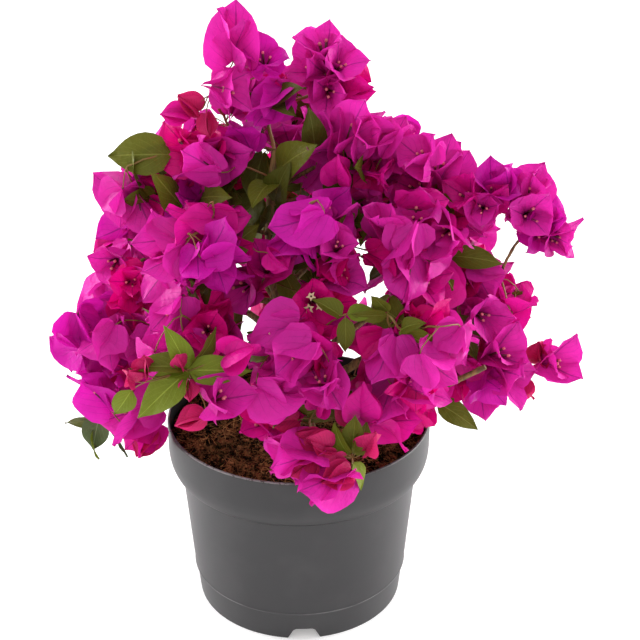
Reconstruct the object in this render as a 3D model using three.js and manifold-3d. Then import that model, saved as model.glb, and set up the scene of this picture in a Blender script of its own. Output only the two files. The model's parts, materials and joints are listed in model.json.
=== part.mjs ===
// A bougainvillea bush in its nursery pot: pot, potting soil, one trunk, its boughs and the masses
// of coloured bracts and leaves that they carry. Millimetres, +Z up, the front of the bush towards -Y.
// The origin is the centre of the pot's underside.
import * as THREE from "three";
import { mergeVertices } from "three/addons/utils/BufferGeometryUtils.js";
import Module from "manifold-3d";

const wasm = await Module();
wasm.setup();

// ---- Driving dimensions ------------------------------------------------------------------------

const GAP = 0.3; // between pieces that touch
const pot = {
  height: 129,
  rimRadius: 85,
  wall: 1.5,
  collarFoot: 95.8, // height where the collar steps in to the body
  shoulderTop: 105.6,
  shoulderRadius: 81.5,
  bodyTopRadius: 76.9,
  bodyFootRadius: 70.6,
  footHeight: 21.4,
  footTopRadius: 69.7,
  footRadius: 67.3,
  footWidth: 3.2,
  floorLift: 5, // the floor stands this high over the foot
  padRadius: 15, // the middle pad comes down to the foot's own level
  lip: 1.2,
  segments: 30,
};
const notch = { count: 3, topWidth: 13, bottomWidth: 22, height: 6.2, depth: 14, turn: 3 };
const drain = { count: 8, radius: 5, circle: 48, depth: 12, segments: 10 };
const soil = { top: 121.4, edgeDrop: 2.4, edgeRound: 1, flatRadius: 60 };
const limbDetail = { sides: 6, steps: 5, curveSamples: 200 };
const flareFade = 9; // how fast the root flare dies away along the trunk
const ball = { waves: 5, unevenness: 0.055, fineFrom: 36 }; // masses from that radius are finer

// The trunk leans a little to the left and forward as it rises through the open middle of the crown.
const trunkLine = [
  [5, 4, soil.top + GAP],
  [3, 2, 150],
  [-6, -5, 195],
  [-19, -16, 248],
  [-17, -14, 268],
  [-13, -8, 318],
];
const trunkGirth = { root: 6.2, tip: 1.7, flare: 3 };

// Boughs: the trunk height they leave at, the points they pass, and their radius at root and tip.
const boughs = {
  bough_low_left: { from: 138, via: [[-52, -12, 160], [-88, -18, 172]], root: 3.0, tip: 1.7 },
  bough_low_right: { from: 143, via: [[48, -4, 158], [84, -16, 168]], root: 3.1, tip: 1.7 },
  bough_low_front: { from: 131, via: [[9, -36, 141], [13, -84, 150]], root: 2.4, tip: 1.4 },
  bough_low_back: { from: 136, via: [[3, 48, 148], [0, 80, 156]], root: 2.8, tip: 1.6 },
  bough_front_right: {
    from: 150,
    via: [[46, -30, 152], [82, -58, 164], [78, -64, 197]],
    root: 3.2,
    tip: 2.2,
  },
  bough_right: { from: 156, via: [[38, -8, 168], [58, -14, 198], [71, -26, 258]], root: 3.4, tip: 1.9 },
  bough_back_right: { from: 163, via: [[48, 34, 184], [74, 52, 200]], root: 2.9, tip: 1.7 },
  bough_front_left: { from: 172, via: [[-30, -44, 194], [-44, -62, 206]], root: 2.6, tip: 1.6 },
  bough_back_left: { from: 180, via: [[-48, 34, 196], [-76, 52, 206]], root: 2.8, tip: 1.7 },
  bough_front: { from: 190, via: [[0, -46, 202], [4, -72, 209]], root: 2.3, tip: 1.5 },
  bough_back: { from: 200, via: [[-4, 44, 212], [0, 72, 217]], root: 2.5, tip: 1.6 },
  bough_left: { from: 213, via: [[-50, -14, 222], [-84, -12, 227]], root: 2.3, tip: 1.4 },
  bough_upper_back: { from: 236, via: [[-12, 20, 262], [-4, 34, 290]], root: 2.0, tip: 1.3 },
  bough_upper_back_left: { from: 205, via: [[-36, 18, 238], [-56, 42, 256]], root: 2.2, tip: 1.4 },
  bough_upper_back_right: { from: 218, via: [[20, 20, 240], [42, 44, 256]], root: 2.2, tip: 1.4 },
  bough_shoulder_right: { from: 286, via: [[6, -14, 302], [24, -18, 311]], root: 1.5, tip: 1.1 },
  bough_upper_left: { from: 262, via: [[-40, -19, 271], [-74, -18, 280]], root: 1.6, tip: 1.1 },
};

// Thin outer limbs, each from the mass or bough that it grows out of.
const outerLimbs = {
  stub_front_right: { via: [[81, -63, 181], [96, -64, 189], [112, -66, 199]], root: 2.2, tip: 1.7 },
  twig_right_outer: {
    via: [[104, -14, 216], [119, -15, 226], [131, -14, 254], [142, -13, 264]],
    root: 1.2,
    tip: 0.9,
  },
  twig_hanging_left: { via: [[-92, -22, 166], [-86, -27, 150], [-90, -25, 131]], root: 1.3, tip: 0.9 },
};

// Foliage masses: middle, radius, and how much taller or flatter than round each one is.
const masses = {
  crown_tip: { at: [-37, -12, 377], radius: 17, tall: 1.3 },
  crown_top_left: { at: [-18, -4, 345], radius: 31 },
  crown_top_right: { at: [24, 0, 357], radius: 26, tall: 1.05 },
  crown_top_back: { at: [-2, 42, 322], radius: 38 },
  shoulder_left: { at: [-59, -10, 311], radius: 32 },
  shoulder_right: { at: [37, -20, 319], radius: 33 },
  upper_left: { at: [-90, -14, 288], radius: 33 },
  upper_front_left: { at: [-55, -58, 268], radius: 33 },
  upper_front: { at: [16, -62, 272], radius: 31 },
  upper_front_right: { at: [66, -48, 270], radius: 35 },
  upper_right: { at: [94, -6, 276], radius: 33 },
  upper_back_left: { at: [-66, 52, 268], radius: 42 },
  upper_back_right: { at: [58, 56, 268], radius: 43 },
  outrigger_inner: { at: [122, -12, 288], radius: 24 },
  outrigger_outer: { at: [156, -12, 264], radius: 20 },
  outer_right: { at: [123, -14, 217], radius: 20 },
  mid_left: { at: [-102, -8, 226], radius: 30 },
  mid_front_left: { at: [-60, -72, 227], radius: 32 },
  mid_front: { at: [2, -92, 214], radius: 33 },
  mid_front_right: { at: [66, -80, 222], radius: 35 },
  mid_right: { at: [104, -8, 226], radius: 32 },
  mid_back_left: { at: [-98, 62, 212], radius: 42 },
  mid_back: { at: [-2, 100, 220], radius: 45 },
  mid_back_right: { at: [96, 62, 212], radius: 42 },
  low_left: { at: [-114, -16, 181], radius: 34 },
  low_left_hanging: { at: [-110, -22, 138], radius: 27 },
  hanging_leaves: { at: [-133, -4, 117], radius: 15 },
  young_leaves: { at: [-63, -102, 216], radius: 20, tall: 0.8 },
  low_front: { at: [-10, -80, 174], radius: 29, tall: 0.85 },
  front_spray: { at: [13, -98, 147], radius: 22, tall: 1.1 },
  low_front_right: { at: [58, -64, 177], radius: 31, tall: 0.85 },
  low_right: { at: [113, -18, 172], radius: 34 },
  low_right_tip: { at: [160, -16, 171], radius: 20 },
  low_back_left: { at: [-80, 78, 160], radius: 36, tall: 0.9 },
  low_back: { at: [2, 102, 158], radius: 38, tall: 0.9 },
  low_back_right: { at: [84, 76, 160], radius: 38, tall: 0.9 },
};

// ---- Helpers -----------------------------------------------------------------------------------

// A repeatable stream of numbers from 0 to 1 for one name.
function seeded(name) {
  let state = [...name].reduce((sum, c) => (sum * 31 + c.charCodeAt(0)) >>> 0, 7);
  return () => {
    state = (state + 0x6d2b79f5) >>> 0;
    let t = Math.imul(state ^ (state >>> 15), 1 | state);
    t = (t + Math.imul(t ^ (t >>> 7), 61 | t)) ^ t;
    return ((t ^ (t >>> 14)) >>> 0) / 4294967296;
  };
}

function solidOf(geometry) {
  geometry.deleteAttribute("normal");
  geometry.deleteAttribute("uv");
  const merged = mergeVertices(geometry, 1e-3);
  return new wasm.Manifold(
    new wasm.Mesh({
      numProp: 3,
      vertProperties: merged.attributes.position.array,
      triVerts: new Uint32Array(merged.index.array),
    }),
  );
}

function geometryOf(solid) {
  const mesh = solid.getMesh();
  return new THREE.BufferGeometry()
    .setAttribute("position", new THREE.BufferAttribute(mesh.vertProperties, 3))
    .setIndex(new THREE.BufferAttribute(mesh.triVerts, 1));
}

// The largest body of a solid, after cuts that may leave slivers beside it.
function largest(solid) {
  return solid.decompose().reduce((best, body) => (body.volume() > best.volume() ? body : best));
}

// A solid of revolution about +Z from [radius, height] pairs.
function turned(profile) {
  const points = profile.map(([r, z]) => new THREE.Vector2(r, z));
  return solidOf(new THREE.LatheGeometry(points, pot.segments).rotateX(Math.PI / 2));
}

// ---- Pot and soil ------------------------------------------------------------------------------

// Inside of the wall at each height, from the rim down to the floor.
const innerWall = [
  [pot.rimRadius - pot.wall, pot.height - pot.lip],
  [pot.rimRadius - pot.wall, pot.shoulderTop],
  [pot.shoulderRadius - pot.wall, pot.collarFoot + pot.wall],
  [pot.bodyTopRadius - pot.wall, pot.collarFoot - pot.wall],
  [pot.footTopRadius - pot.wall, pot.footHeight],
  [pot.footRadius + 1 - pot.wall, pot.floorLift + pot.wall],
];

function potShell() {
  const outer = [
    [0, 0],
    [pot.padRadius, 0],
    [pot.padRadius + 2, pot.floorLift],
    [pot.footRadius - pot.footWidth, pot.floorLift],
    [pot.footRadius - pot.footWidth, 0],
    [pot.footRadius, 0],
    [pot.footTopRadius, pot.footHeight - 0.4],
    [pot.bodyFootRadius, pot.footHeight],
    [pot.bodyTopRadius, pot.collarFoot - 0.6],
    [pot.shoulderRadius, pot.collarFoot],
    [pot.rimRadius, pot.shoulderTop],
    [pot.rimRadius, pot.height - pot.lip],
    [pot.rimRadius - 0.5, pot.height],
    [pot.rimRadius - pot.wall + 0.3, pot.height],
  ];
  let shell = turned([...outer, ...innerWall, [0, pot.floorLift + pot.wall]]);
  for (let i = 0; i < notch.count; i++) {
    shell = shell.subtract(footNotch(notch.turn + (i * 360) / notch.count));
  }
  for (let i = 0; i < drain.count; i++) {
    shell = shell.subtract(drainHole(((i + 0.5) * 360) / drain.count));
  }
  return shell;
}

// A cut through the foot ring that is wider at the ground than at its top.
function footNotch(degrees) {
  const outline = new THREE.Shape([
    new THREE.Vector2(-notch.bottomWidth / 2, -1),
    new THREE.Vector2(notch.bottomWidth / 2, -1),
    new THREE.Vector2(notch.topWidth / 2, notch.height),
    new THREE.Vector2(-notch.topWidth / 2, notch.height),
  ]);
  const cut = new THREE.ExtrudeGeometry(outline, { depth: notch.depth, bevelEnabled: false });
  cut.rotateX(Math.PI / 2);
  cut.translate(0, notch.depth / 2 - pot.footRadius, 0);
  cut.rotateZ(THREE.MathUtils.degToRad(degrees));
  return solidOf(cut);
}

function drainHole(degrees) {
  const hole = new THREE.CylinderGeometry(drain.radius, drain.radius, drain.depth, drain.segments);
  hole.rotateX(Math.PI / 2);
  hole.translate(drain.circle, 0, pot.floorLift);
  hole.rotateZ(THREE.MathUtils.degToRad(degrees));
  return solidOf(hole);
}

function soilPlug() {
  const side = innerWall.slice(1).map(([r, z]) => [r - GAP, z]);
  side[side.length - 1][1] += GAP;
  const edge = soil.top - soil.edgeDrop;
  const profile = [
    [0, soil.top],
    [soil.flatRadius, soil.top],
    [side[0][0] - soil.edgeRound, edge],
    [side[0][0], edge - soil.edgeRound],
    ...side,
    [0, pot.floorLift + pot.wall + GAP],
  ];
  return turned(profile.reverse());
}

// Everything inside the pot's outline up to its rim, which no mass may enter.
function potEnvelope() {
  const r = pot.rimRadius + 2 * GAP;
  return turned([[0, -1], [r, -1], [r, pot.height + GAP], [0, pot.height + GAP]]);
}

// ---- Limbs -------------------------------------------------------------------------------------

// A cylinder that is bent along a smooth curve and tapers from root to tip, fattened by extra.
function limb({ via, root, tip, flare = 0 }, extra = 0) {
  const curve = new THREE.CatmullRomCurve3(via.map((p) => new THREE.Vector3(...p)));
  const frames = curve.computeFrenetFrames(limbDetail.steps, false);
  if (flare > 0) levelFrame(frames, 0); // the trunk's foot is cut flat and level
  const straight = new THREE.CylinderGeometry(1, 1, 1, limbDetail.sides, limbDetail.steps);
  const position = straight.attributes.position;
  for (let i = 0; i < position.count; i++) {
    const step = Math.round((position.getY(i) + 0.5) * limbDetail.steps);
    const t = step / limbDetail.steps;
    const radius = root + (tip - root) * t + flare * Math.exp(-flareFade * t) + extra;
    const middle = curve.getPointAt(t);
    middle.addScaledVector(frames.normals[step], position.getX(i) * radius);
    middle.addScaledVector(frames.binormals[step], -position.getZ(i) * radius);
    position.setXYZ(i, middle.x, middle.y, middle.z);
  }
  return solidOf(straight);
}

function levelFrame(frames, step) {
  frames.normals[step].setZ(0).normalize();
  frames.binormals[step].crossVectors(new THREE.Vector3(0, 0, 1), frames.normals[step]);
}

// The trunk's middle at a height, where a bough starts inside it.
function trunkAt(height) {
  const curve = new THREE.CatmullRomCurve3(trunkLine.map((p) => new THREE.Vector3(...p)));
  const samples = curve.getSpacedPoints(limbDetail.curveSamples);
  const near = (p) => Math.abs(p.z - height);
  return samples.reduce((best, p) => (near(p) < near(best) ? p : best)).toArray();
}

// ---- Foliage masses ----------------------------------------------------------------------------

// A ball whose surface swells and sinks in a few broad waves of its own.
function blob(name, { at, radius, tall = 1 }) {
  const sphere = new THREE.IcosahedronGeometry(1, radius > ball.fineFrom ? 2 : 1);
  const random = seeded(name);
  const waves = Array.from({ length: ball.waves }, () => ({
    way: new THREE.Vector3(random() - 0.5, random() - 0.5, random() - 0.5),
    count: 2.5 + 3 * random(),
    phase: 2 * Math.PI * random(),
  }));
  waves.forEach((wave) => wave.way.normalize());
  const position = sphere.attributes.position;
  const point = new THREE.Vector3();
  for (let i = 0; i < position.count; i++) {
    point.fromBufferAttribute(position, i);
    const swell = waves.reduce((sum, w) => sum + Math.sin(w.count * point.dot(w.way) + w.phase), 0);
    point.multiplyScalar(radius * (1 + ball.unevenness * swell));
    position.setXYZ(i, at[0] + point.x, at[1] + point.y, at[2] + tall * point.z);
  }
  return solidOf(sphere);
}

// Parts two masses that run into each other by a plane between them, GAP apart.
function part(a, b) {
  const between = new THREE.Vector3(...b.at).sub(new THREE.Vector3(...a.at));
  const apart = between.length();
  const share = (apart ** 2 + a.radius ** 2 - b.radius ** 2) / (2 * apart);
  const normal = between.normalize();
  const plane = normal.dot(new THREE.Vector3(...a.at)) + share;
  a.solid = a.solid.trimByPlane(normal.clone().negate().toArray(), -(plane - GAP / 2));
  b.solid = b.solid.trimByPlane(normal.toArray(), plane + GAP / 2);
}

// ---- Assembly ----------------------------------------------------------------------------------

const finishes = {
  pot: { color: 0x4b494b, roughness: 0.55, metalness: 0 },
  soil: { color: 0x2b160e, roughness: 0.95, metalness: 0 },
  bark: { color: 0x6a5238, roughness: 0.8, metalness: 0 },
  bracts: { color: 0xc8128c, roughness: 0.6, metalness: 0 },
  leaves: { color: 0x56642a, roughness: 0.5, metalness: 0 },
};
const materials = Object.fromEntries(
  Object.entries(finishes).map(([name, finish]) => [name, new THREE.MeshStandardMaterial(finish)]),
);
const bush = new THREE.Group();

function add(name, solid, finish) {
  const mesh = new THREE.Mesh(geometryOf(solid), materials[finish]);
  mesh.name = name;
  bush.add(mesh);
}

add("pot", potShell(), "pot");
add("potting_soil", soilPlug(), "soil");

// The trunk stays whole, and each further limb is cut clear of all the limbs before it.
const trunk = { via: trunkLine, ...trunkGirth };
const limbs = [{ name: "trunk", solid: limb(trunk), clearance: limb(trunk, GAP) }];
const routes = { ...outerLimbs };
for (const [name, { from, via, root, tip }] of Object.entries(boughs)) {
  routes[name] = { via: [trunkAt(from), ...via], root, tip };
}
for (const name of [...Object.keys(boughs), ...Object.keys(outerLimbs)]) {
  const near = limbs.reduce((solid, other) => solid.subtract(other.clearance), limb(routes[name]));
  limbs.push({ name, solid: largest(near), clearance: limb(routes[name], GAP) });
}
limbs.forEach(({ name, solid }) => add(name, solid, "bark"));

// Masses are parted from each other first, then cut round the limbs and clear of the pot.
const crown = Object.entries(masses).map(([name, size]) => ({ name, ...size, whole: blob(name, size) }));
crown.forEach((mass) => (mass.solid = mass.whole));
crown.forEach((a, i) =>
  crown.slice(i + 1).forEach((b) => {
    if (a.whole.intersect(b.whole).volume() > 0) part(a, b);
  }),
);
const envelope = potEnvelope();
const leafMasses = new Set(["hanging_leaves", "young_leaves"]);
for (const mass of crown) {
  const clear = limbs.reduce((solid, each) => solid.subtract(each.clearance), mass.solid.subtract(envelope));
  add(mass.name, largest(clear), leafMasses.has(mass.name) ? "leaves" : "bracts");
}

export default bush;
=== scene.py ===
"""The looks of a potted bougainvillea bush: pot, soil, stems, twigs, bracts, florets and leaves.

Laid out as an add-on and run as a script. Lengths are in metres and +Z is up; the front of the
bush faces -Y. The crown grows from the frame's own limbs and foliage masses, which it replaces.
"""

import json
import math
from functools import lru_cache

import bmesh
import bpy
import numpy as np
from mathutils import Matrix, Vector, noise
from mathutils.bvhtree import BVHTree


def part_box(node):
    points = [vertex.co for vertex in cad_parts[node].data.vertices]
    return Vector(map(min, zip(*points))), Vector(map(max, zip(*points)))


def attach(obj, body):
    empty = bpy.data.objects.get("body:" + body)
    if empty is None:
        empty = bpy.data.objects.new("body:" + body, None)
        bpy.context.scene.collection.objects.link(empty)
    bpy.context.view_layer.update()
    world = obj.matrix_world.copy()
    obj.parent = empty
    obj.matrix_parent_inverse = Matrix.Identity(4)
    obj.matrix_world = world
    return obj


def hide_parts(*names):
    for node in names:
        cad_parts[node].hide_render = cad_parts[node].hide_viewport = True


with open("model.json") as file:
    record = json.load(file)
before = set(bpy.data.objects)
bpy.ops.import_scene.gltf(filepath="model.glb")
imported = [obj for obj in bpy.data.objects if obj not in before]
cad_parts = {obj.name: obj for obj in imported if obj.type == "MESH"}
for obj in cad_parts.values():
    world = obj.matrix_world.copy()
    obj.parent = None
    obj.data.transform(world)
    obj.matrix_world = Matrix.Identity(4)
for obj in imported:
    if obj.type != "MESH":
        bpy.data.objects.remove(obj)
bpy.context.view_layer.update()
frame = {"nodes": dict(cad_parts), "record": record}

bl_info = {
    "name": "Potted Bougainvillea",
    "version": (1, 0, 0),
    "blender": (4, 5, 0),
    "location": "3D View > Sidebar > Bougainvillea",
    "description": "Builds a bougainvillea bush in its nursery pot round the packed frame",
    "category": "Object",
}

MM = 0.001
SLOT_OF = {part["node"]: part["material_slot"] for part in frame["record"]["subparts"]}
LIMB_NODES = sorted(node for node, slot in SLOT_OF.items() if slot == "bark")
MASS_NODES = sorted(node for node, slot in SLOT_OF.items() if slot in ("bracts", "leaves"))


def settings():
    return bpy.context.scene


# ---- Settings ------------------------------------------------------------------------------------


class PotSettings(bpy.types.PropertyGroup):
    colour: bpy.props.FloatVectorProperty(
        name="Plastic", description="Colour of the moulded pot", subtype="COLOR",
        default=(0.0215, 0.0210, 0.0224), min=0, max=1)
    # The pale colour of the highlight painted on the rim and the step, also blended in faintly as dust.
    dust_and_highlight_colour: bpy.props.FloatVectorProperty(
        name="Dust and Painted Highlight", description="Colour of faint dust, and of the highlight painted on the rim and the ledge",
        subtype="COLOR", default=(0.22, 0.21, 0.21), min=0, max=1)
    wall: bpy.props.FloatProperty(
        name="Wall", description="Thickness of the pot's wall", default=1.5 * MM, unit="LENGTH")
    segments: bpy.props.IntProperty(
        name="Segments", description="Steps round the pot", default=192, min=24)


class SoilSettings(bpy.types.PropertyGroup):
    colour: bpy.props.FloatVectorProperty(
        name="Peat", description="Colour of the moist peat", subtype="COLOR",
        default=(0.046, 0.0205, 0.0082), min=0, max=1)
    fibre_colour: bpy.props.FloatVectorProperty(
        name="Coir", description="Colour of the coir fibres", subtype="COLOR",
        default=(0.58, 0.28, 0.105), min=0, max=1)
    roughness_height: bpy.props.FloatProperty(
        name="Unevenness", description="Height of the lumps in the surface", default=3.4 * MM, unit="LENGTH")
    crumbs: bpy.props.IntProperty(
        name="Crumbs", description="Loose crumbs on the surface", default=3000, min=0)
    fibres: bpy.props.IntProperty(name="Fibres", description="Loose coir fibres", default=900, min=0)


class LimbSettings(bpy.types.PropertyGroup):
    bark_colour: bpy.props.FloatVectorProperty(
        name="Bark", description="Colour of the woody stems", subtype="COLOR",
        default=(0.24, 0.135, 0.045), min=0, max=1)
    furrow_colour: bpy.props.FloatVectorProperty(
        name="Furrows", description="Colour in the furrows of the bark", subtype="COLOR",
        default=(0.085, 0.044, 0.018), min=0, max=1)
    twig_colour: bpy.props.FloatVectorProperty(
        name="Twigs", description="Colour of the thin young twigs", subtype="COLOR",
        default=(0.21, 0.135, 0.028), min=0, max=1)
    relief: bpy.props.FloatProperty(
        name="Relief", description="Depth of the bark's ridges", default=0.35 * MM, unit="LENGTH")


class CrownSettings(bpy.types.PropertyGroup):
    seed: bpy.props.IntProperty(name="Seed", description="Seed of the branching and the sprays", default=19)
    spacing: bpy.props.FloatProperty(
        name="Flower Spacing", description="Least distance between flowers on a mass",
        default=20.0 * MM, unit="LENGTH")
    depth: bpy.props.FloatProperty(
        name="Flower Depth", description="How far inside a mass its flowers start",
        default=25 * MM, unit="LENGTH")
    nodding: bpy.props.FloatProperty(
        name="Nodding Sprays", description="Share of the sprays that hang over and show their stalks",
        default=0.28, min=0, max=1, subtype="FACTOR")
    inset: bpy.props.FloatProperty(
        name="Inset", description="How far the heads of the flowers stay inside a mass",
        default=6 * MM, unit="LENGTH")
    bract_length: bpy.props.FloatProperty(
        name="Bract Length", description="Length of a full-grown bract", default=29 * MM, unit="LENGTH")
    leaf_length: bpy.props.FloatProperty(
        name="Leaf Length", description="Length of a full-grown leaf", default=36 * MM, unit="LENGTH")
    twig_step: bpy.props.FloatProperty(
        name="Twig Step", description="Length of one step of a growing twig", default=5 * MM, unit="LENGTH")


class StageSettings(bpy.types.PropertyGroup):
    camera_place: bpy.props.FloatVectorProperty(
        name="Camera", description="Where the camera stands", subtype="TRANSLATION",
        default=(0.0137, -0.8784, 0.6366))
    camera_pitch: bpy.props.FloatProperty(
        name="Pitch", description="How far the camera looks down",
        default=math.radians(26.61), unit="ROTATION")
    camera_lens: bpy.props.FloatProperty(
        name="Lens", description="Focal length in millimetres", default=87.9)
    floor_colour: bpy.props.FloatVectorProperty(
        name="Floor", description="Colour of the floor", subtype="COLOR",
        default=(0.86, 0.86, 0.86), min=0, max=1)
    floor_glow: bpy.props.FloatProperty(
        name="Floor Glow", description="Strength of the light that comes up through the floor", default=0.30)
    sky_strength: bpy.props.FloatProperty(
        name="Sky", description="Strength of the even light from all round", default=0.86)


# ---- Shader helpers ------------------------------------------------------------------------------


class Wire:
    """An output socket on which arithmetic adds Math nodes."""

    def __init__(self, shader, socket):
        self.shader = shader
        self.socket = socket

    def _math(self, operation, first, second):
        return self.shader.node("ShaderNodeMath", {"operation": operation}, {0: first, 1: second})

    def __add__(self, other):
        return self._math("ADD", self, other)

    __radd__ = __add__

    def __sub__(self, other):
        return self._math("SUBTRACT", self, other)

    def __rsub__(self, other):
        return self._math("SUBTRACT", other, self)

    def __mul__(self, other):
        return self._math("MULTIPLY", self, other)

    __rmul__ = __mul__

    def __abs__(self):
        return self._math("ABSOLUTE", self, 0.0)


class Shader:
    """A new material and the nodes that are added to it."""

    def __init__(self, name):
        self.material = bpy.data.materials.new(name)
        self.material.use_nodes = True
        self.nodes = self.material.node_tree.nodes
        self.links = self.material.node_tree.links
        self.nodes.clear()

    def node(self, kind, settings=None, inputs=None, output=0):
        made = self.nodes.new(kind)
        settings = dict(settings or {})
        stops = settings.pop("stops", None)
        for key, value in settings.items():
            setattr(made, key, value)
        if stops:
            elements = made.color_ramp.elements
            while len(elements) < len(stops):
                elements.new(0.5)
            for element, (position, colour) in zip(elements, stops):
                element.position = position
                element.color = (*colour, 1.0)
        for key, value in (inputs or {}).items():
            if isinstance(value, Wire):
                self.links.new(value.socket, made.inputs[key])
            elif value is not None:
                colour = _is_colour(made.inputs[key], value)
                made.inputs[key].default_value = (*value, 1.0) if colour else value
        return Wire(self, made.outputs[output])

    def blend(self, factor, low, high):
        """A colour that goes from low to high with the factor."""
        low = (*low, 1.0) if isinstance(low, (tuple, list)) and len(low) == 3 else low
        high = (*high, 1.0) if isinstance(high, (tuple, list)) and len(high) == 3 else high
        return self.node("ShaderNodeMix", {"data_type": "RGBA"}, {0: factor, 6: low, 7: high}, output=2)

    def smooth(self, value, low, high):
        """0 below low, 1 above high, and a smooth step between."""
        return self.node("ShaderNodeMapRange", {"interpolation_type": "SMOOTHSTEP"},
                         {0: value, 1: low, 2: high})

    def place(self, scale=(1.0, 1.0, 1.0)):
        """Object coordinates in metres, scaled."""
        at = self.node("ShaderNodeTexCoord", output=3)
        return self.node("ShaderNodeMapping", None, {"Vector": at, "Scale": scale})

    def split(self, vector):
        """The x, y and z parts of a vector."""
        return [self.node("ShaderNodeSeparateXYZ", None, {0: vector}, output=i) for i in range(3)]

    def noise(self, vector, scale, detail=3.0, roughness=0.55):
        return self.node("ShaderNodeTexNoise", None,
                         {"Vector": vector, "Scale": scale, "Detail": detail, "Roughness": roughness})

    def bump(self, height, strength, distance):
        return self.node("ShaderNodeBump", None,
                         {"Height": height, "Strength": strength, "Distance": distance})

    def surface(self, **sockets):
        names = {"colour": "Base Color", "roughness": "Roughness", "normal": "Normal",
                 "specular": "Specular IOR Level",
                 "emission": "Emission Color", "emission_strength": "Emission Strength"}
        return self.node("ShaderNodeBsdfPrincipled", None, {names[k]: v for k, v in sockets.items()})

    def finish(self, shader):
        out = self.nodes.new("ShaderNodeOutputMaterial")
        self.links.new(shader.socket, out.inputs["Surface"])
        return self.material


def _is_colour(socket, value):
    return socket.type == "RGBA" and hasattr(value, "__len__") and len(value) == 3


# ---- Mesh helpers --------------------------------------------------------------------------------


def new_object(name, mesh, material=None, smooth=True):
    made = bpy.data.objects.new(name, mesh)
    bpy.context.scene.collection.objects.link(made)
    if material:
        mesh.materials.clear()
        mesh.materials.append(material)
    mesh.polygons.foreach_set("use_smooth", np.full(len(mesh.polygons), smooth))
    return made


def object_from_bmesh(name, bm, material=None, smooth=True, crease=None):
    mesh = bpy.data.meshes.new(name)
    bm.to_mesh(mesh)
    bm.free()
    made = new_object(name, mesh, material, smooth)
    if crease is not None:
        mesh.set_sharp_from_angle(angle=math.radians(crease))
    return made


def spun(profile, segments):
    """A closed bmesh: the (radius, height) profile turned once about Z."""
    bm = bmesh.new()
    verts = [bm.verts.new((r, 0.0, z)) for r, z in profile]
    edges = [bm.edges.new(pair) for pair in zip(verts, verts[1:])]
    bmesh.ops.spin(bm, geom=verts + edges, cent=(0, 0, 0), axis=(0, 0, 1), dvec=(0, 0, 0),
                   angle=2 * math.pi, steps=segments, use_merge=True, use_duplicate=False)
    bmesh.ops.remove_doubles(bm, verts=bm.verts, dist=0.01 * MM)
    bmesh.ops.recalc_face_normals(bm, faces=bm.faces)
    return bm


def rounded(profile, radii, steps=4):
    """The profile with a circular fillet of the given radius at each inner point."""
    points = [Vector(p) for p in profile]
    out = [points[0]]
    for before, corner, after, radius in zip(points, points[1:], points[2:], radii):
        if radius <= 0:
            out.append(corner)
            continue
        to_before, to_after = (before - corner), (after - corner)
        reach = min(radius, 0.45 * to_before.length, 0.45 * to_after.length)
        start, end = corner + to_before.normalized() * reach, corner + to_after.normalized() * reach
        for i in range(steps + 1):
            t = i / steps
            out.append((1 - t) ** 2 * start + 2 * t * (1 - t) * corner + t ** 2 * end)
    out.append(points[-1])
    return [tuple(p) for p in out]


class Template:
    """The arrays of one small mesh: points, face loops and a UV for each loop."""

    def __init__(self, bm):
        bm.verts.index_update()
        layer = bm.loops.layers.uv.active
        self.points = np.array([v.co for v in bm.verts])
        self.sizes = np.array([len(f.verts) for f in bm.faces], np.int32)
        self.corners = np.array([loop.vert.index for f in bm.faces for loop in f.loops], np.int32)
        uvs = [loop[layer].uv if layer else (0.5, 0.5) for f in bm.faces for loop in f.loops]
        self.uvs = np.array([tuple(uv) for uv in uvs])
        bm.free()

    @staticmethod
    def joined(templates):
        whole = Template.__new__(Template)
        offsets = np.cumsum([0] + [len(t.points) for t in templates[:-1]])
        whole.points = np.concatenate([t.points for t in templates])
        whole.sizes = np.concatenate([t.sizes for t in templates])
        whole.corners = np.concatenate([t.corners + o for t, o in zip(templates, offsets)]).astype(np.int32)
        whole.uvs = np.concatenate([t.uvs for t in templates])
        return whole

    def moved(self, matrix):
        """A copy that a 4 by 4 matrix has moved."""
        copy = Template.__new__(Template)
        matrix = np.array(matrix)
        copy.points = self.points @ matrix[:3, :3].T + matrix[:3, 3]
        copy.sizes, copy.corners, copy.uvs = self.sizes, self.corners, self.uvs
        return copy


def joined_object(name, placed, material):
    """One object from a list of (template, 4 by 4 matrix)."""
    whole = Template.joined([template.moved(matrix) for template, matrix in placed])
    mesh = bpy.data.meshes.new(name)
    mesh.vertices.add(len(whole.points))
    mesh.vertices.foreach_set("co", whole.points.astype(np.float32).ravel())
    mesh.loops.add(len(whole.corners))
    mesh.loops.foreach_set("vertex_index", whole.corners)
    mesh.polygons.add(len(whole.sizes))
    starts = np.concatenate([[0], np.cumsum(whole.sizes)[:-1]])
    mesh.polygons.foreach_set("loop_start", starts.astype(np.int32))
    mesh.uv_layers.new(name="UVMap").uv.foreach_set("vector", whole.uvs.astype(np.float32).ravel())
    mesh.update(calc_edges=True)
    mesh.validate()
    return new_object(name, mesh, material)


def tubes_object(name, paths, material, sides=1):
    """One object of round tubes along paths of (point, radius)."""
    curve = bpy.data.curves.new(name, "CURVE")
    curve.dimensions = "3D"
    curve.bevel_depth = MM
    curve.bevel_resolution = sides
    curve.use_fill_caps = True
    for path in paths:
        spline = curve.splines.new("POLY")
        spline.points.add(len(path) - 1)
        for point, (place, radius) in zip(spline.points, path):
            point.co = (*place, 1.0)
            point.radius = radius / MM
    holder = bpy.data.objects.new(name, curve)
    bpy.context.scene.collection.objects.link(holder)
    bpy.context.view_layer.update()
    mesh = bpy.data.meshes.new_from_object(holder.evaluated_get(bpy.context.evaluated_depsgraph_get()))
    bpy.data.objects.remove(holder)
    bpy.data.curves.remove(curve)
    mesh.name = name
    return new_object(name, mesh, material)


def settle(piece, slot, *nodes):
    """Rides the piece on the root body in place of the nodes; the slot is not used."""
    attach(piece, "root")
    if nodes:
        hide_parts(*nodes)


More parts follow.
